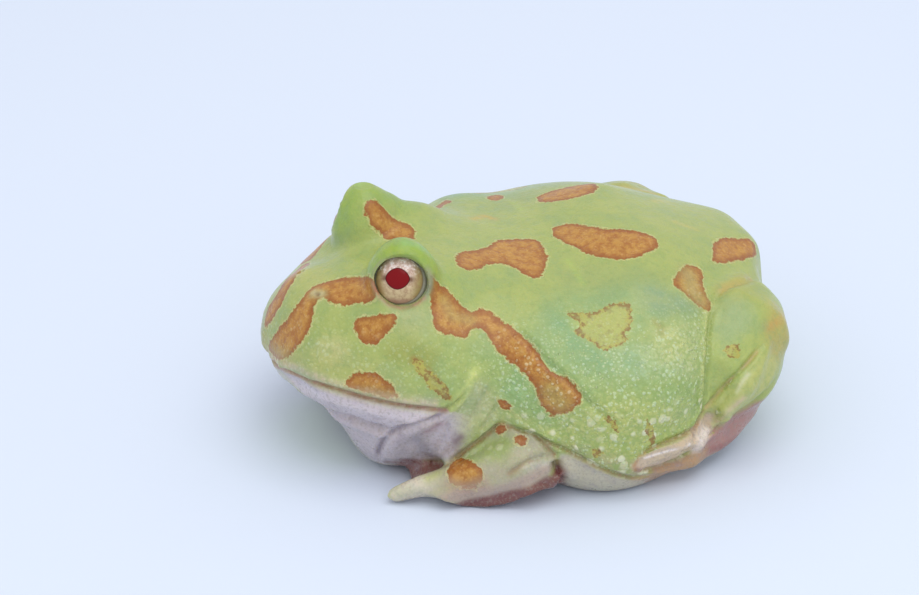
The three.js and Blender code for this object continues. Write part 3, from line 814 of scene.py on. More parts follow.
class FrogStageSettings(PropertyGroup):
    """Floor and light"""
    floor_size: FloatProperty(
        name="Floor Size", description="Side of the square floor", default=4.0, min=0.5, unit="LENGTH")
    floor_colour: colour_property("Floor", "Colour of the floor", (217, 227, 245))
    studio_strength: FloatProperty(
        name="Studio Light", description="Strength of the even light from all round",
        default=0.84, min=0.0)


def new_object(name, mesh, material=None):
    """An object at the origin that shows a mesh"""
    obj = bpy.data.objects.new(name, mesh)
    bpy.context.scene.collection.objects.link(obj)
    if material:
        mesh.materials.append(material)
    return obj


def shade_smooth(mesh):
    """Show the faces of a mesh as one smooth surface"""
    for polygon in mesh.polygons:
        polygon.use_smooth = True


def smooth(bm, verts):
    """Move some verts half way to the middle of their neighbours"""
    bmesh.ops.smooth_vert(
        bm, verts=verts, factor=0.5, use_axis_x=True, use_axis_y=True, use_axis_z=True)


def grown_copy(bm, node, distance):
    """Add a copy of a frame node to a bmesh, grown along its normals"""
    part = bmesh.new()
    part.from_mesh(frame["nodes"][node].data)
    bmesh.ops.remove_doubles(part, verts=part.verts, dist=0.01 * MM)
    bmesh.ops.recalc_face_normals(part, faces=part.faces)
    part.normal_update()
    for v in part.verts:
        v.co += v.normal * distance
    mesh = bpy.data.meshes.new(node)
    part.to_mesh(mesh)
    part.free()
    bm.from_mesh(mesh)
    bpy.data.meshes.remove(mesh)


def with_modifiers(obj):
    """The mesh of an object with its modifiers in it"""
    graph = bpy.context.evaluated_depsgraph_get()
    return bpy.data.meshes.new_from_object(obj.evaluated_get(graph), depsgraph=graph)


def loft(bm, rings, closed=False):
    """Add a skin over rings of points in mm, with its ends capped, or joined if it is closed"""
    rows = [bmesh.ops.create_circle(bm, segments=len(rings[0]), radius=1)["verts"]]
    start = set(rows[0])
    first = [e for e in bm.edges if e.verts[0] in start and e.verts[1] in start]
    edges = first
    for _ in rings[1:]:
        before_row = set(rows[-1])
        made = bmesh.ops.extrude_edge_only(bm, edges=edges)["geom"]
        new_edges = [e for e in made if isinstance(e, bmesh.types.BMEdge)]
        edges = [e for e in new_edges if not any(v in before_row for v in e.verts)]
        partner = {}
        for v in made:
            if isinstance(v, bmesh.types.BMVert):
                ends = [e.other_vert(v) for e in v.link_edges]
                partner[next(end for end in ends if end in before_row)] = v
        rows.append([partner[v] for v in rows[-1]])
    for row, ring in zip(rows, rings):
        for v, place in zip(row, ring):
            v.co = Vector(place) * MM
    if closed:
        bmesh.ops.bridge_loops(bm, edges=first + edges)
    else:
        bmesh.ops.contextual_create(bm, geom=first)
        bmesh.ops.contextual_create(bm, geom=edges)
    faces = {f for row in rows for v in row for f in v.link_faces}
    bmesh.ops.recalc_face_normals(bm, faces=list(faces))


def tube(bm, points, radii):
    """Add a closed round length along points in mm, with rounded ends"""
    points = [Vector(p) for p in points]
    start = (points[0] - points[1]).normalized()
    end = (points[-1] - points[-2]).normalized()
    stations = [(points[0] + start * radii[0] * math.sin(a), radii[0] * math.cos(a))
                for a in reversed(CAP_TURNS)]
    stations += list(zip(points, radii))
    stations += [(points[-1] + end * radii[-1] * math.sin(a), radii[-1] * math.cos(a)) for a in CAP_TURNS]
    side = start.orthogonal().normalized()
    angles = [math.tau * k / TUBE_SIDES for k in range(TUBE_SIDES)]
    rings = []
    for i, (centre, radius) in enumerate(stations):
        ahead = stations[min(i + 1, len(stations) - 1)][0] - stations[max(i - 1, 0)][0]
        ahead.normalize()
        side = (side - ahead * side.dot(ahead)).normalized()
        across = ahead.cross(side)
        rings.append([centre + (side * math.cos(a) + across * math.sin(a)) * radius for a in angles])
    loft(bm, rings)


def on_eye(pixel, radius):
    """Where the line of sight through a pixel meets, or passes nearest, a ball about the left eye"""
    eye, sight = ray_through(pixel)
    to_centre = Vector(EYE_CENTRE) - eye
    nearest = eye + sight * to_centre.dot(sight)
    off = (nearest - Vector(EYE_CENTRE)).length
    if off >= radius:
        return Vector(EYE_CENTRE) + (nearest - Vector(EYE_CENTRE)).normalized() * radius
    return nearest - sight * math.sqrt(radius ** 2 - off ** 2)


def add_lids(bm):
    """Add the left eye's lids: a thick ball round the eye, open where the eye shows"""
    centre = Vector(EYE_CENTRE)
    inner = EYE_RADIUS - LID_OVERLAP
    outer = EYE_RADIUS + LID_THICKNESS
    gaze = Vector(GAZE).normalized()
    toward = [(on_eye(pixel, outer) - centre).normalized() for pixel in rounded(EYE_OPENING, 1)]
    rings = [[centre + d * inner for d in toward]]
    rings.append([centre + d * (inner + LID_EDGE * LID_THICKNESS) for d in toward])
    for share in LID_OUTSIDE:
        ring = []
        for d in toward:
            side = (d - gaze * d.dot(gaze)).normalized()
            now = math.acos(max(-1.0, min(1.0, d.dot(gaze))))
            turn = now + (LID_TURN - now) * share
            ring.append(centre + (gaze * math.cos(turn) + side * math.sin(turn)) * outer)
        rings.append(ring)
    back = rings[-1]
    rings.append([centre + (p - centre).normalized() * inner for p in back])
    for share in LID_INSIDE:
        rings.append([centre + (d * (1 - share) + (p - centre) / outer * share).normalized() * inner
                      for d, p in zip(toward, back)])
    loft(bm, rings, closed=True)


def mirrored_verts(bm, verts):
    """Copy some verts and their faces to the other side of the frog"""
    faces = {f for v in verts for f in v.link_faces}
    made = bmesh.ops.duplicate(bm, geom=list(verts) + list(faces))["geom"]
    copies = [v for v in made if isinstance(v, bmesh.types.BMVert)]
    bmesh.ops.scale(bm, vec=MIRROR, verts=copies)
    bmesh.ops.reverse_faces(bm, faces=[f for f in made if isinstance(f, bmesh.types.BMFace)])


def add_piece(bm, points, radii):
    """Add a tube and its mirror image"""
    old = set(bm.verts)
    tube(bm, points, radii)
    mirrored_verts(bm, set(bm.verts) - old)


def add_pieces(bm, clay):
    """Add the lids, fingers, toes and flaps that the frame's flesh has no forms for, on both sides"""
    old = set(bm.verts)
    add_lids(bm)
    mirrored_verts(bm, set(bm.verts) - old)
    for points in LIMB_PIECES.values():
        add_piece(bm, [p[:3] for p in points], [p[3] for p in points])
    for points in LAID_PIECES.values():
        places = [clay.under(p[:2]) for p in points]
        normals = [clay.tree.find_nearest(place)[1] for place in places]
        line = [place + normal * p[3] for place, normal, p in zip(places, normals, points)]
        add_piece(bm, line, [p[2] for p in points])


def pull(clay):
    """Pull the flesh to the photo's outline"""
    _, right, up, back = camera_axes()
    for table, both in ((PULLS, True), (FAR_PULLS, False)):
        for pixel, reach, move in table.values():
            centre = np.array(clay.under(pixel))
            world = np.array(right * move[0] + up * move[1] + back * move[2])
            if both and abs(centre[0]) > reach:
                clay.pull(centre * MIRROR, reach, world * MIRROR)
            clay.pull(centre, reach, world)
    clay.settle()


def whole_flesh(seam):
    """The frame's flesh with its cuts closed, pulled to the photo's outline, and the small pieces on it"""
    bm = bmesh.new()
    for node in FLESH:
        grown_copy(bm, node, seam)
    mesh = bpy.data.meshes.new("clay")
    bm.to_mesh(mesh)
    bm.free()
    flesh = Clay(mesh)
    pull(flesh)
    bm = bmesh.new()
    bm.from_mesh(mesh)
    add_pieces(bm, flesh)
    bm.to_mesh(mesh)
    bm.free()
    return mesh


def one_surface(mesh, size):
    """A mesh of one closed surface round all of another, with faces of a size"""
    clay_obj = new_object("clay", mesh)
    remesh = clay_obj.modifiers.new("One surface", "REMESH")
    remesh.mode = "VOXEL"
    remesh.voxel_size = size
    surface = with_modifiers(clay_obj)
    surface.name = "skin"
    bpy.data.objects.remove(clay_obj)
    return surface


def near_lines(clay, lines, reach):
    """Which points lie within reach of any of some lines of pixels, on both sides of the frog"""
    chosen = np.zeros(len(clay.co), bool)
    for pixels in lines:
        line = clay.seen(pixels)
        for place in (line, line * MIRROR):
            chosen |= line_distance(clay.co, place)[0] < reach
    return chosen


def smooth_mesh(mesh, rounds):
    """Smooth a mesh, less round the eyes, hands and feet"""
    clay = Clay(mesh)
    x, y, z = np.abs(clay.co[:, 0]), clay.co[:, 1], clay.co[:, 2]
    fine = np.linalg.norm(np.stack([x, y, z], 1) - EYE_CENTRE, axis=1) < FINE_EYE_REACH
    fine |= (x > FINE_HAND_CORNER[0]) & (y < FINE_HAND_CORNER[1]) & (z < FINE_HAND_CORNER[2])
    fine |= near_lines(clay, [[p[:2] for p in LAID_PIECES[name]] for name in FINE_PIECES], FINE_PIECE_REACH)
    bm = bmesh.new()
    bm.from_mesh(mesh)
    bm.verts.ensure_lookup_table()
    coarse = [v for v in bm.verts if not fine[v.index]]
    for i in range(rounds):
        smooth(bm, bm.verts if i < rounds // 3 else coarse)
    bm.to_mesh(mesh)
    bm.free()


def refine(mesh):
    """Split the faces of the places that need finer detail"""
    clay = Clay(mesh)
    chosen = np.zeros(len(clay.co), bool)
    for pixels, reach in FINE_PLACES:
        chosen |= near_lines(clay, [pixels], reach)
    bm = bmesh.new()
    bm.from_mesh(mesh)
    bm.verts.ensure_lookup_table()
    edges = [e for e in bm.edges if chosen[e.verts[0].index] and chosen[e.verts[1].index]]
    made = bmesh.ops.subdivide_edges(bm, edges=edges, cuts=1, use_grid_fill=True, smooth=0.0)
    verts = [v for v in made["geom_split"] if isinstance(v, bmesh.types.BMVert)]
    for _ in range(2):
        smooth(bm, verts)
    bm.to_mesh(mesh)
    bm.free()


def carve(clay):
    """Carve the skin's creases, folds, lips and nostrils, and keep it within the frame's box"""
    dabs = [(np.array(clay.under(pixel)), reach, height) for pixel, reach, height in DABS.values()]
    lines = [(clay.seen(pixels), half_width, height) for pixels, half_width, height in STROKES.values()]
    for line, half_width, height in lines:
        clay.stroke(line, half_width, height)
        clay.stroke(line * MIRROR, half_width, height)
    for place, reach, height in dabs:
        clay.push(height * (clay.near([place], reach) + clay.near([place * MIRROR], reach)))
    clay.settle()
    low, high = np.array(CAD_BOX[0]) / MM, np.array(CAD_BOX[1]) / MM
    clay.co = np.clip(clay.co, low, high)
    clay.settle()


def markings(clay, outlines, mirrored):
    """Distance of each point from the nearest of some outlines, on both sides of the frog"""
    nearest = np.full(len(clay.co), FAR_AWAY)
    for name, pixels in outlines.items():
        points = clay.seen(pixels, MID_HEAD if name == "horn_far" else None)
        nearest = np.minimum(nearest, clay.area(points))
        if name in mirrored:
            nearest = np.minimum(nearest, clay.area(points * MIRROR + (0, mirrored[name], 0)))
    return nearest


def lay(tint, colour, share):
    """Lay a share of an sRGB colour over the skin's tint"""
    tint += (np.array(linear(colour)) - tint) * np.clip(share, 0, 1)[:, None]


def lay_patches(clay, tint):
    """Lay the patches of colour, and return how much of each point each of them covers"""
    y, z = clay.co[:, 1], clay.co[:, 2]
    covered = {}
    for name, (pixels, softness, cover, colour) in PATCHES.items():
        covered[name] = clay.share(pixels, softness)
        if name == "throat":
            covered[name] *= z < np.interp(y, MOUTH_LINE[0], MOUTH_LINE[1])
        lay(tint, colour, cover * covered[name])
    return covered


def lay_lines(clay, tint):
    """Lay the coloured lines, and return how much of the markings some of them hide"""
    unmarked = np.zeros(len(tint))
    for name, (pixels, half_width, cover, colour) in LINES.items():
        line = clay.seen(pixels)
        away = np.minimum(line_distance(clay.co, line)[0], line_distance(clay.co, line * MIRROR)[0])
        share = cover * np.exp(-((away / half_width) ** 2))
        lay(tint, colour, share)
        if name in OVER_MARKINGS:
            unmarked = np.maximum(unmarked, share)
    return unmarked


def lay_undersides_and_shadows(clay, tint):
    """Lay the colours of the undersides and the painted shadows under the throat and arm, and return how
    much of each point they cover
    """
    x, y, z = np.abs(clay.co[:, 0]), clay.co[:, 1], clay.co[:, 2]
    under = np.zeros(len(tint))
    for span, run, tops, cover, colour in UNDERSIDES_AND_SHADOWS.values():
        share = smoothstep(np.minimum(x - span[0], span[1] - x), -UNDER_FADE, UNDER_FADE)
        share *= smoothstep(np.minimum(y - run[0], run[1] - y), -UNDER_END_FADE, UNDER_END_FADE)
        share *= 1 - smoothstep(z - np.interp(y, run, tops), -UNDER_FADE, UNDER_FADE)
        lay(tint, colour, cover * share)
        under = np.maximum(under, share)
    return under


def region(y, z, edges):
    """How much of each point lies below the top and between the front and rear of a region"""
    return before(z, *edges["top"]) * past(y, *edges["front"]) * before(y, *edges["rear"])


def mark(clay, base_colour):
    """Store the markings, the colour of each place, and where the skin is pale, granular and warty"""
    x, y, z = np.abs(clay.co[:, 0]), clay.co[:, 1], clay.co[:, 2]
    clay.store("blotch", markings(clay, BLOTCHES, MIRRORED_BLOTCHES))
    clay.store("smudge", markings(clay, SMUDGES, MIRRORED_SMUDGES))
    tint = np.tile(np.array(base_colour, float), (len(x), 1))
    for line, reach, cover, colour in PLACES.values():
        away, _ = line_distance(np.stack([x, y, z], 1), line)
        lay(tint, colour, cover * np.exp(-((away / reach) ** 2)))
    below = np.clip(-clay.normal[:, 2] * BELLY_SLOPE - BELLY_START, 0, 1) * (z < BELLY_TOP)
    lay(tint, PAINTS["belly"], below)
    covered = lay_patches(clay, tint)
    clay.store("unmarked", lay_lines(clay, tint))
    under = lay_undersides_and_shadows(clay, tint)
    clay.store("tint", tint)
    arm = covered["arm"]
    pale = np.clip(sum(covered[name] for name in SMOOTH_PATCHES) + 0.45 * arm + below + under, 0, 1)
    rough = (1 - pale) * (1 - 0.9 * clay.share(LEG, LEG_SOFTNESS))
    grain = np.maximum(region(y, z, FLANK_GRAINS), 0.4 * region(y, z, CHEEK_GRAINS))
    clay.store("grain", grain * (1 - 0.5 * arm) * rough)
    warty = region(y, z, WARTS) * (1 - arm) + 0.6 * covered["arm_green"]
    clay.store("warty", np.clip(warty, 0, 1) * rough)
    clay.store("pale", pale)


class FROG_OT_skin(Operator):
    """Grow the frame's flesh into one skin, carve it and mark it"""
    bl_idname = "frog.skin"
    bl_label = "Skin"

    def execute(self, context):
        s = context.scene.frog_skin
        mesh = one_surface(whole_flesh(s.seam), s.mesh_size)
        smooth_mesh(mesh, s.smoothing)
        refine(mesh)
        clay = Clay(mesh)
        clay.push(np.full(len(clay.co), -s.seam / MM))
        clay.settle()
        carve(clay)
        mark(clay, s.base_colour)
        shade_smooth(mesh)
        skin = new_object("skin", mesh, skin_material(s))
        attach(skin, "root")
        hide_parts(*FLESH)
        return {"FINISHED"}


class Nodes:
    """Short words for building a node tree"""

    def __init__(self, tree):
        self.tree = tree

    def feed(self, socket, value):
        """Link a socket to another, or set it to a number or colour"""
        if isinstance(value, bpy.types.NodeSocket):
            self.tree.links.new(value, socket)
        else:
            socket.default_value = value

    def add(self, kind, inputs=(), **values):
        """A node with some of its values and inputs set"""
        node = self.tree.nodes.new(kind)
        for name, value in values.items():
            setattr(node, name, value)
        for name, value in dict(inputs).items():
            self.feed(node.inputs[name], value)
        return node

    def group(self, tree, inputs):
        """Outputs of a node group with its inputs set"""
        return self.add("ShaderNodeGroup", inputs, node_tree=tree).outputs

    def math(self, operation, a, b=0.0):
        return self.add("ShaderNodeMath", {0: a, 1: b}, operation=operation).outputs[0]

    def plus(self, a, b):
        return self.math("ADD", a, b)

    def minus(self, a, b):
        return self.math("SUBTRACT", a, b)

    def times(self, a, b):
        return self.math("MULTIPLY", a, b)

    def size(self, a):
        """A value without its sign"""
        return self.math("ABSOLUTE", a)

    def ramp(self, value, low, high, to_low=0.0, to_high=1.0):
        """A value eased from one range to another"""
        inputs = {"Value": value, "From Min": low, "From Max": high, "To Min": to_low, "To Max": to_high}
        return self.add("ShaderNodeMapRange", inputs, interpolation_type="SMOOTHSTEP").outputs[0]

    def blend(self, share, a, b):
        """Mix of two colours"""
        return self.add("ShaderNodeMix", {0: share, 6: a, 7: b}, data_type="RGBA").outputs[2]

    def paint(self, colour, share, paint):
        """A colour with a share of one of the paints over it"""
        return self.blend(share, colour, (*linear(PAINTS[paint]), 1))

    def attribute(self, name, output="Fac"):
        return self.add("ShaderNodeAttribute", attribute_name=name).outputs[output]

    def millimetres(self):
        """Object coordinates in mm"""
        place = self.add("ShaderNodeTexCoord").outputs["Object"]
        return self.add("ShaderNodeVectorMath", {0: place, "Scale": 1 / MM}, operation="SCALE").outputs[0]

    def noise(self, place, pitch, detail=3.0, roughness=0.55):
        """Noise from 0 to 1 whose lumps are about pitch mm apart"""
        inputs = {"Vector": place, "Scale": 1 / pitch, "Detail": detail, "Roughness": roughness}
        return self.add("ShaderNodeTexNoise", inputs).outputs["Fac"]


def new_group(name, inputs, outputs):
    """A new node group with named sockets: its nodes, what it is given and what it makes"""
    tree = bpy.data.node_groups.new(name, "ShaderNodeTree")
    for socket, kind in inputs.items():
        tree.interface.new_socket(socket, in_out="INPUT", socket_type=f"NodeSocket{kind}")
    for socket, kind in outputs.items():
        tree.interface.new_socket(socket, in_out="OUTPUT", socket_type=f"NodeSocket{kind}")
    n = Nodes(tree)
    return n, n.add("NodeGroupInput").outputs, n.add("NodeGroupOutput").inputs


def new_material(name, values):
    """A new material with some of its shader's values set, its nodes and its shader"""
    material = bpy.data.materials.new(name)
    material.use_nodes = True
    shader = material.node_tree.nodes["Principled BSDF"]
    for socket, value in values.items():
        shader.inputs[socket].default_value = value
    return material, Nodes(material.node_tree), shader


def marking_group():
    """Node group that turns a distance from a marking into its fill, margin and rim"""
    n, given, made = new_group(
        "Marking edge",
        {"Distance": "Float", "Raggedness": "Float"},
        {"Fill": "Float", "Margin": "Float", "Rim": "Float"})
    place = n.millimetres()
    wave = n.minus(n.noise(place, 1.6, 2.0), 0.5)
    fine = n.minus(n.noise(place, 0.5, 2.0), 0.5)
    bend = n.plus(wave, n.times(fine, 0.8))
    d = n.plus(given["Distance"], n.times(bend, given["Raggedness"]))
    fill = n.ramp(d, 0.14, -0.14)
    n.feed(made["Fill"], fill)
    n.feed(made["Margin"], n.times(fill, n.ramp(d, -1.3, -0.1)))
    n.feed(made["Rim"], n.times(n.ramp(d, -0.02, 0.12), n.ramp(d, 0.4, 0.15)))
    return n.tree


def granule_group():
    """Node group of fine grains: how pale, how dark and how high the skin is there"""
    n, given, made = new_group(
        "Granules",
        {"Pitch": "Float", "Share": "Float"},
        {"Dot": "Float", "Gap": "Float", "Height": "Float"})
    place = n.millimetres()
    sway = n.add("ShaderNodeTexNoise", {"Vector": place, "Scale": 0.6, "Detail": 1.0}).outputs["Color"]
    swayed = n.add("ShaderNodeVectorMath", {0: sway, 1: (0.6, 0.6, 0.6), 2: place}, operation="MULTIPLY_ADD")
    scale = n.math("DIVIDE", 1.0, given["Pitch"])
    cells = n.add("ShaderNodeTexVoronoi", {"Vector": swayed.outputs[0], "Scale": scale}).outputs
    luck = n.add("ShaderNodeSeparateColor", {"Color": cells["Color"]}).outputs
    chosen = n.ramp(n.minus(given["Share"], luck[0]), 0.0, 0.1)
    size = n.times(n.plus(luck[1], 0.8), 0.3)
    away = cells["Distance"]
    n.feed(made["Dot"], n.times(n.ramp(n.minus(away, size), 0.08, -0.12), chosen))
    n.feed(made["Gap"], n.ramp(away, 0.45, 0.75))
    n.feed(made["Height"], n.times(n.ramp(away, 0.6, 0.0), n.plus(n.times(chosen, 0.6), 0.4)))
    return n.tree


def skin_masks(n):
    """What the skin's colour and relief are made from: its stored values, noises, grains and markings"""
    edge, granules = marking_group(), granule_group()
    place = n.millimetres()
    return SimpleNamespace(
        place=place,
        mottle=n.noise(place, 1.1, 4.0, 0.65),
        fine=n.noise(place, 0.45, 3.0, 0.6),
        grain=n.attribute("grain"),
        warty=n.attribute("warty"),
        pale=n.attribute("pale"),
        tiny=n.group(granules, {"Pitch": 0.4, "Share": 0.4}),
        small=n.group(granules, {"Pitch": 0.62, "Share": 0.5}),
        warts=n.group(granules, {"Pitch": 1.5, "Share": 0.6}),
        blotch=n.group(edge, {"Distance": n.attribute("blotch"), "Raggedness": 1.1}),
        smudge=n.group(edge, {"Distance": n.attribute("smudge"), "Raggedness": 1.7}))


def plain_skin(n, m):
    """Colour of the skin between its markings"""
    tint = n.attribute("tint", "Color")
    patchy = n.noise(m.place, 5.0, 4.0, 0.6)
    green = n.paint(tint, n.ramp(patchy, 0.42, 0.62, 0.0, 0.3), "straw")
    green = n.paint(green, n.ramp(patchy, 0.5, 0.32, 0.0, 0.4), "sage")
    green = n.paint(green, n.ramp(m.mottle, 0.52, 0.34, 0.0, 0.3), "moss")
    skin = n.blend(m.pale, green, tint)
    skin = n.paint(skin, n.times(m.pale, n.ramp(m.fine, 0.48, 0.66, 0.0, 0.4)), "freckle")
    bruise = n.ramp(n.noise(m.place, 2.4, 3.0, 0.6), 0.52, 0.75, 0.0, 0.4)
    skin = n.paint(skin, n.times(m.pale, bruise), "bruise")

    # Grains: hardly seen on the back, plain on the flank, with round pale warts low down. The pale grain
    # dots are partly the granules' own colour and partly painted glints.
    everywhere = n.plus(n.times(m.grain, 0.96), 0.04)
    flank = n.times(m.grain, n.ramp(n.noise(m.place, 4.0, 2.0), 0.35, 0.55))
    skin = n.paint(skin, n.times(m.tiny["Dot"], n.times(everywhere, 0.5)), "tiny_grain")
    skin = n.paint(skin, n.times(m.small["Gap"], n.times(m.grain, 0.5)), "grain_gap")
    skin = n.paint(skin, n.times(m.small["Dot"], n.times(flank, 0.5)), "grain")
    skin = n.paint(skin, n.times(m.warts["Gap"], n.times(m.warty, 0.3)), "wart_gap")
    return n.paint(skin, n.times(n.times(m.warts["Dot"], m.warty), 0.85), "wart")


def blotch_fill(n, m, s):
    """Colour inside the blotches"""
    fill = n.paint((*s.blotch_colour, 1), n.ramp(m.mottle, 0.35, 0.62), "blotch_light")
    fill = n.paint(fill, n.times(m.tiny["Dot"], 0.3), "blotch_tiny_grain")
    fill = n.paint(fill, n.times(n.times(m.small["Dot"], m.grain), 0.6), "blotch_grain")
    fill = n.paint(fill, n.times(n.times(m.warts["Dot"], m.warty), 0.6), "blotch_wart")
    fill = n.blend(n.times(m.blotch["Margin"], 0.75), fill, (*s.margin_colour, 1))
    return n.paint(fill, n.ramp(m.fine, 0.5, 0.3, 0.0, 0.3), "blotch_streak")


def marked_skin(n, m, s):
    """Colour of the skin with its vague marks, and over them the blotches with their margin and rim"""
    streaky = n.plus(n.times(m.smudge["Margin"], 0.12), m.mottle)
    smudge = n.paint((*linear(PAINTS["smudge"]), 1), n.ramp(streaky, 0.5, 0.66), "smudge_streak")
    edging = n.times(m.smudge["Fill"], n.plus(n.times(m.smudge["Margin"], 0.5), 0.4))
    colour = n.blend(edging, plain_skin(n, m), smudge)
    marked = n.minus(1.0, n.attribute("unmarked"))
    colour = n.blend(n.times(m.blotch["Fill"], marked), colour, blotch_fill(n, m, s))
    return n.blend(n.times(m.blotch["Rim"], n.times(marked, 0.4)), colour, (*s.rim_colour, 1))


def skin_relief(n, m):
    """Fine relief of the skin, in mm: its grains, warts, wrinkles and the rims of its blotches"""
    heights = (
        n.times(m.tiny["Height"], n.plus(n.times(m.grain, 0.06), 0.025)),
        n.times(m.small["Height"], n.times(m.grain, 0.16)),
        n.times(n.times(m.warts["Height"], m.warty), 0.3),
        n.times(m.fine, 0.08),
        n.times(m.blotch["Rim"], 0.07),
        n.times(n.noise(m.place, 2.2, 3.0), 0.3))
    total = heights[0]
    for height in heights[1:]:
        total = n.plus(total, height)
    return n.add("ShaderNodeBump", {"Height": total, "Strength": 1.0, "Distance": MM}).outputs["Normal"]


def skin_material(s):
    """Moist, finely granular skin with its colours and markings"""
    material, n, shader = new_material("frog_skin", {
        "Specular IOR Level": 0.4,
        "Subsurface Weight": 0.2,
        "Subsurface Radius": (1.0, 0.6, 0.3),
        "Subsurface Scale": 1.2 * MM,
        "Coat Weight": 0.3,
        "Coat Roughness": 0.15})
    m = skin_masks(n)
    n.feed(shader.inputs["Base Color"], marked_skin(n, m, s))
    n.feed(shader.inputs["Normal"], skin_relief(n, m))
    dull = n.ramp(m.mottle, 0.3, 0.7, 0.32, 0.48)
    n.feed(shader.inputs["Roughness"], n.minus(dull, n.times(m.pale, 0.08)))
    return material


def iris_group(pupil_colour):
    """Node group that colours the iris and pupil by their places across the gaze in mm"""
    n, given, made = new_group("Iris", {"Iris": "Vector", "Pupil": "Vector"}, {"Color": "Color"})
    iris = n.add("ShaderNodeSeparateXYZ", {0: given["Iris"]}).outputs
    pupil = n.add("ShaderNodeSeparateXYZ", {0: given["Pupil"]}).outputs
    across, up = iris["X"], iris["Y"]
    streaks = n.noise(n.millimetres(), 0.55, 4.0, 0.7)
    # The pale top of the iris is partly its own silvery pink and partly painted highlight, and the gleam
    # over it is a painted highlight
    colour = n.paint((*linear(PAINTS["iris_low"]), 1), n.ramp(up, -2.0, 2.4), "iris_high")
    colour = n.paint(colour, n.times(n.ramp(n.size(across), 1.5, 3.0), 0.85), "iris_side")
    colour = n.paint(colour, n.ramp(streaks, 0.38, 0.66, 0.0, 0.6), "iris_streak")
    gleam = n.times(n.ramp(streaks, 0.5, 0.36), n.ramp(up, 0.6, 2.2))
    colour = n.paint(colour, gleam, "iris_gleam")
    wedge = n.times(n.ramp(n.size(pupil["Y"]), 0.75, 0.1), n.ramp(n.size(pupil["X"]), 2.9, 1.9))
    colour = n.paint(colour, n.times(wedge, 0.85), "iris_wedge")
    colour = n.paint(colour, n.times(n.ramp(up, -2.4, -3.2), 0.7), "iris_foot")

    # The iris ends in a thin dark ring, with the pale ball beyond it
    off = n.math("SQRT", n.plus(n.times(across, across), n.times(up, up)))
    ring = n.times(n.ramp(off, 3.36, 3.5), n.ramp(off, 3.68, 3.54))
    colour = n.paint(colour, n.ramp(off, 3.45, 3.6), "eyeball")
    colour = n.paint(colour, n.times(ring, 0.55), "iris_ring")

    # The pupil is a rounded diamond
    spread = n.size(n.math("DIVIDE", pupil["X"], PUPIL_HALF_WIDTH))
    rise = n.size(n.math("DIVIDE", pupil["Y"], PUPIL_HALF_HEIGHT))
    diamond = n.plus(n.math("POWER", spread, PUPIL_ROUNDNESS), n.math("POWER", rise, PUPIL_ROUNDNESS))
    inside = n.paint((*pupil_colour, 1), n.ramp(diamond, 0.8, 1.0), "pupil_edge")
    n.feed(made["Color"], n.blend(n.ramp(diamond, 1.05, 0.97), colour, inside))
    return n.tree


def eye_material(name, centre, mirror, group):
    """Glossy eye whose iris and pupil are centred where the photo shows them"""
    material, n, shader = new_material(f"eye_{name}", {
        "Roughness": 0.3,
        "Specular IOR Level": 0.1,
        "Coat Weight": 0.18,
        "Coat Roughness": 0.06})
    offset = n.add("ShaderNodeVectorMath", {0: n.millimetres(), 1: centre}, operation="SUBTRACT").outputs[0]
    planes = {}
    for part, pixel in (("Iris", IRIS_PIXEL), ("Pupil", PUPIL_PIXEL)):
        axis = ((on_eye(pixel, EYE_RADIUS) - Vector(EYE_CENTRE)) * mirror).normalized()
        level = Vector((0, 0, 1)).cross(axis).normalized()
        rise = axis.cross(level)
        across = n.add("ShaderNodeVectorMath", {0: offset, 1: level}, operation="DOT_PRODUCT")
        up = n.add("ShaderNodeVectorMath", {0: offset, 1: rise}, operation="DOT_PRODUCT")
        place = {"X": across.outputs["Value"], "Y": up.outputs["Value"]}
        planes[part] = n.add("ShaderNodeCombineXYZ", place).outputs[0]
    n.feed(shader.inputs["Base Color"], n.group(group, planes)["Color"])
    return material


class FROG_OT_eyes(Operator):
    """Make both eyes, each with its iris and pupil"""
    bl_idname = "frog.eyes"
    bl_label = "Eyes"

    def execute(self, context):
        group = iris_group(context.scene.frog_eyes.pupil_colour)
        for side, name in ((1, "left"), (-1, "right")):
            mirror = Vector((side, 1, 1))
            centre = Vector(EYE_CENTRE) * mirror
            bm = bmesh.new()
            bmesh.ops.create_uvsphere(bm, u_segments=64, v_segments=48, radius=EYE_RADIUS * MM)
            turn = Vector((0, 0, 1)).rotation_difference(Vector(GAZE) * mirror).to_matrix()
            bmesh.ops.rotate(bm, verts=bm.verts, matrix=turn, cent=(0, 0, 0))
            bmesh.ops.translate(bm, verts=bm.verts, vec=centre * MM)
            mesh = bpy.data.meshes.new(f"eyeball_{name}")
            bm.to_mesh(mesh)
            bm.free()
            shade_smooth(mesh)
            eye = new_object(f"eyeball_{name}", mesh, eye_material(name, centre, mirror, group))
            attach(eye, "root")
            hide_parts(f"eye_{name}")
        return {"FINISHED"}


def add_floor(s):
    """Plain pale floor"""
    bm = bmesh.new()
    bmesh.ops.create_grid(bm, x_segments=1, y_segments=1, size=s.floor_size / 2)
    mesh = bpy.data.meshes.new("floor")
    bm.to_mesh(mesh)
    bm.free()
    material, _, _ = new_material("floor", {
        "Base Color": (*s.floor_colour, 1),
        "Roughness": 0.9,
        "Specular IOR Level": 0.1})
    floor = new_object("floor", mesh, material)


def add_light(name, place, size, power, glints):
    """Square area light aimed at the frog, seen in its gloss or not"""
    light = bpy.data.lights.new(name, "AREA")
    light.size = size
    light.energy = power
    obj = bpy.data.objects.new(name, light)
    obj.visible_glossy = glints
    obj.location = place
    obj.rotation_euler = (-Vector(place)).to_track_quat("-Z", "Y").to_euler()
    bpy.context.scene.collection.objects.link(obj)


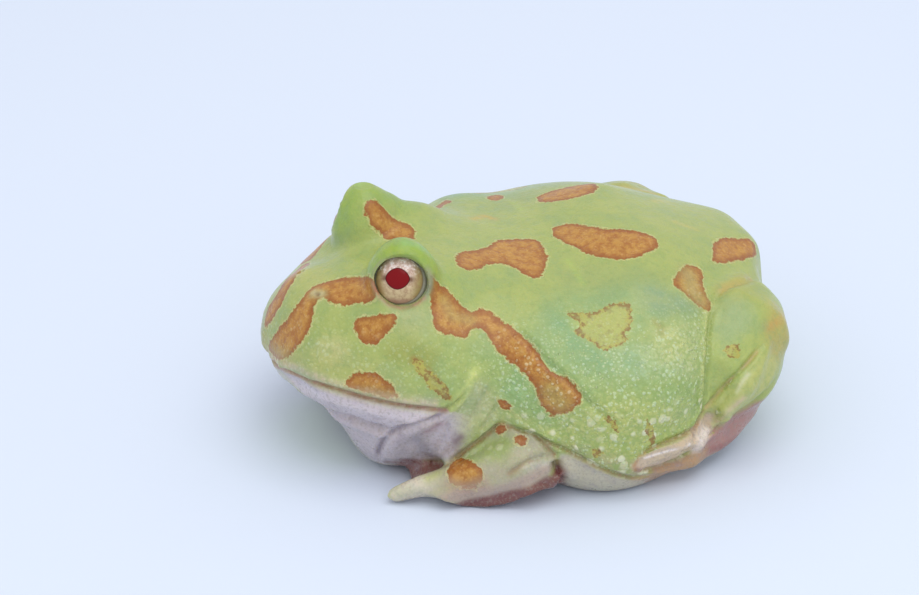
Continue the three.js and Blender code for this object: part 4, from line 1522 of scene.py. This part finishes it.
def add_camera(scene):
    """Camera at the photo's viewing angle"""
    camera = bpy.data.cameras.new("camera")
    camera.lens = LENS
    camera.sensor_width = SENSOR
    camera.clip_start = 0.01
    obj = bpy.data.objects.new("camera", camera)
    centre, _, _, back = camera_axes()
    obj.location = centre * MM
    obj.rotation_euler = (-back).to_track_quat("-Z", "Y").to_euler()
    scene.collection.objects.link(obj)
    scene.camera = obj


class FROG_OT_stage(Operator):
    """Set the floor, the soft studio light and the camera"""
    bl_idname = "frog.stage"
    bl_label = "Stage"

    def execute(self, context):
        s = context.scene.frog_stage
        add_floor(s)
        world = bpy.data.worlds.new("studio")
        world.use_nodes = True
        background = world.node_tree.nodes["Background"]
        background.inputs["Color"].default_value = (1, 1, 1, 1)
        background.inputs["Strength"].default_value = s.studio_strength
        context.scene.world = world
        for name, values in LIGHTS.items():
            add_light(name, *values)
        add_camera(context.scene)
        context.scene.view_settings.view_transform = "Standard"
        return {"FINISHED"}


class FROG_PT_panel(Panel):
    """Sizes and colours of the frog"""
    bl_label = "Horned Frog"
    bl_idname = "FROG_PT_panel"
    bl_space_type = "VIEW_3D"
    bl_region_type = "UI"
    bl_category = "Frog"

    def draw(self, context):
        scene = context.scene
        for operator, settings in (
                (FROG_OT_skin, scene.frog_skin),
                (FROG_OT_eyes, scene.frog_eyes),
                (FROG_OT_stage, scene.frog_stage)):
            box = self.layout.box()
            for name in settings.__annotations__:
                box.prop(settings, name)
            box.operator(operator.bl_idname)


CLASSES = (
    FrogSkinSettings,
    FrogEyeSettings,
    FrogStageSettings,
    FROG_OT_skin,
    FROG_OT_eyes,
    FROG_OT_stage,
    FROG_PT_panel)


def register():
    for cls in CLASSES:
        bpy.utils.register_class(cls)
    bpy.types.Scene.frog_skin = PointerProperty(type=FrogSkinSettings)
    bpy.types.Scene.frog_eyes = PointerProperty(type=FrogEyeSettings)
    bpy.types.Scene.frog_stage = PointerProperty(type=FrogStageSettings)


def unregister():
    del bpy.types.Scene.frog_stage
    del bpy.types.Scene.frog_eyes
    del bpy.types.Scene.frog_skin
    for cls in reversed(CLASSES):
        bpy.utils.unregister_class(cls)


def main():
    register()
    bpy.ops.frog.skin()
    bpy.ops.frog.eyes()
    bpy.ops.frog.stage()
    bpy.context.view_layer.update()


if __name__ == "__main__":
    main()
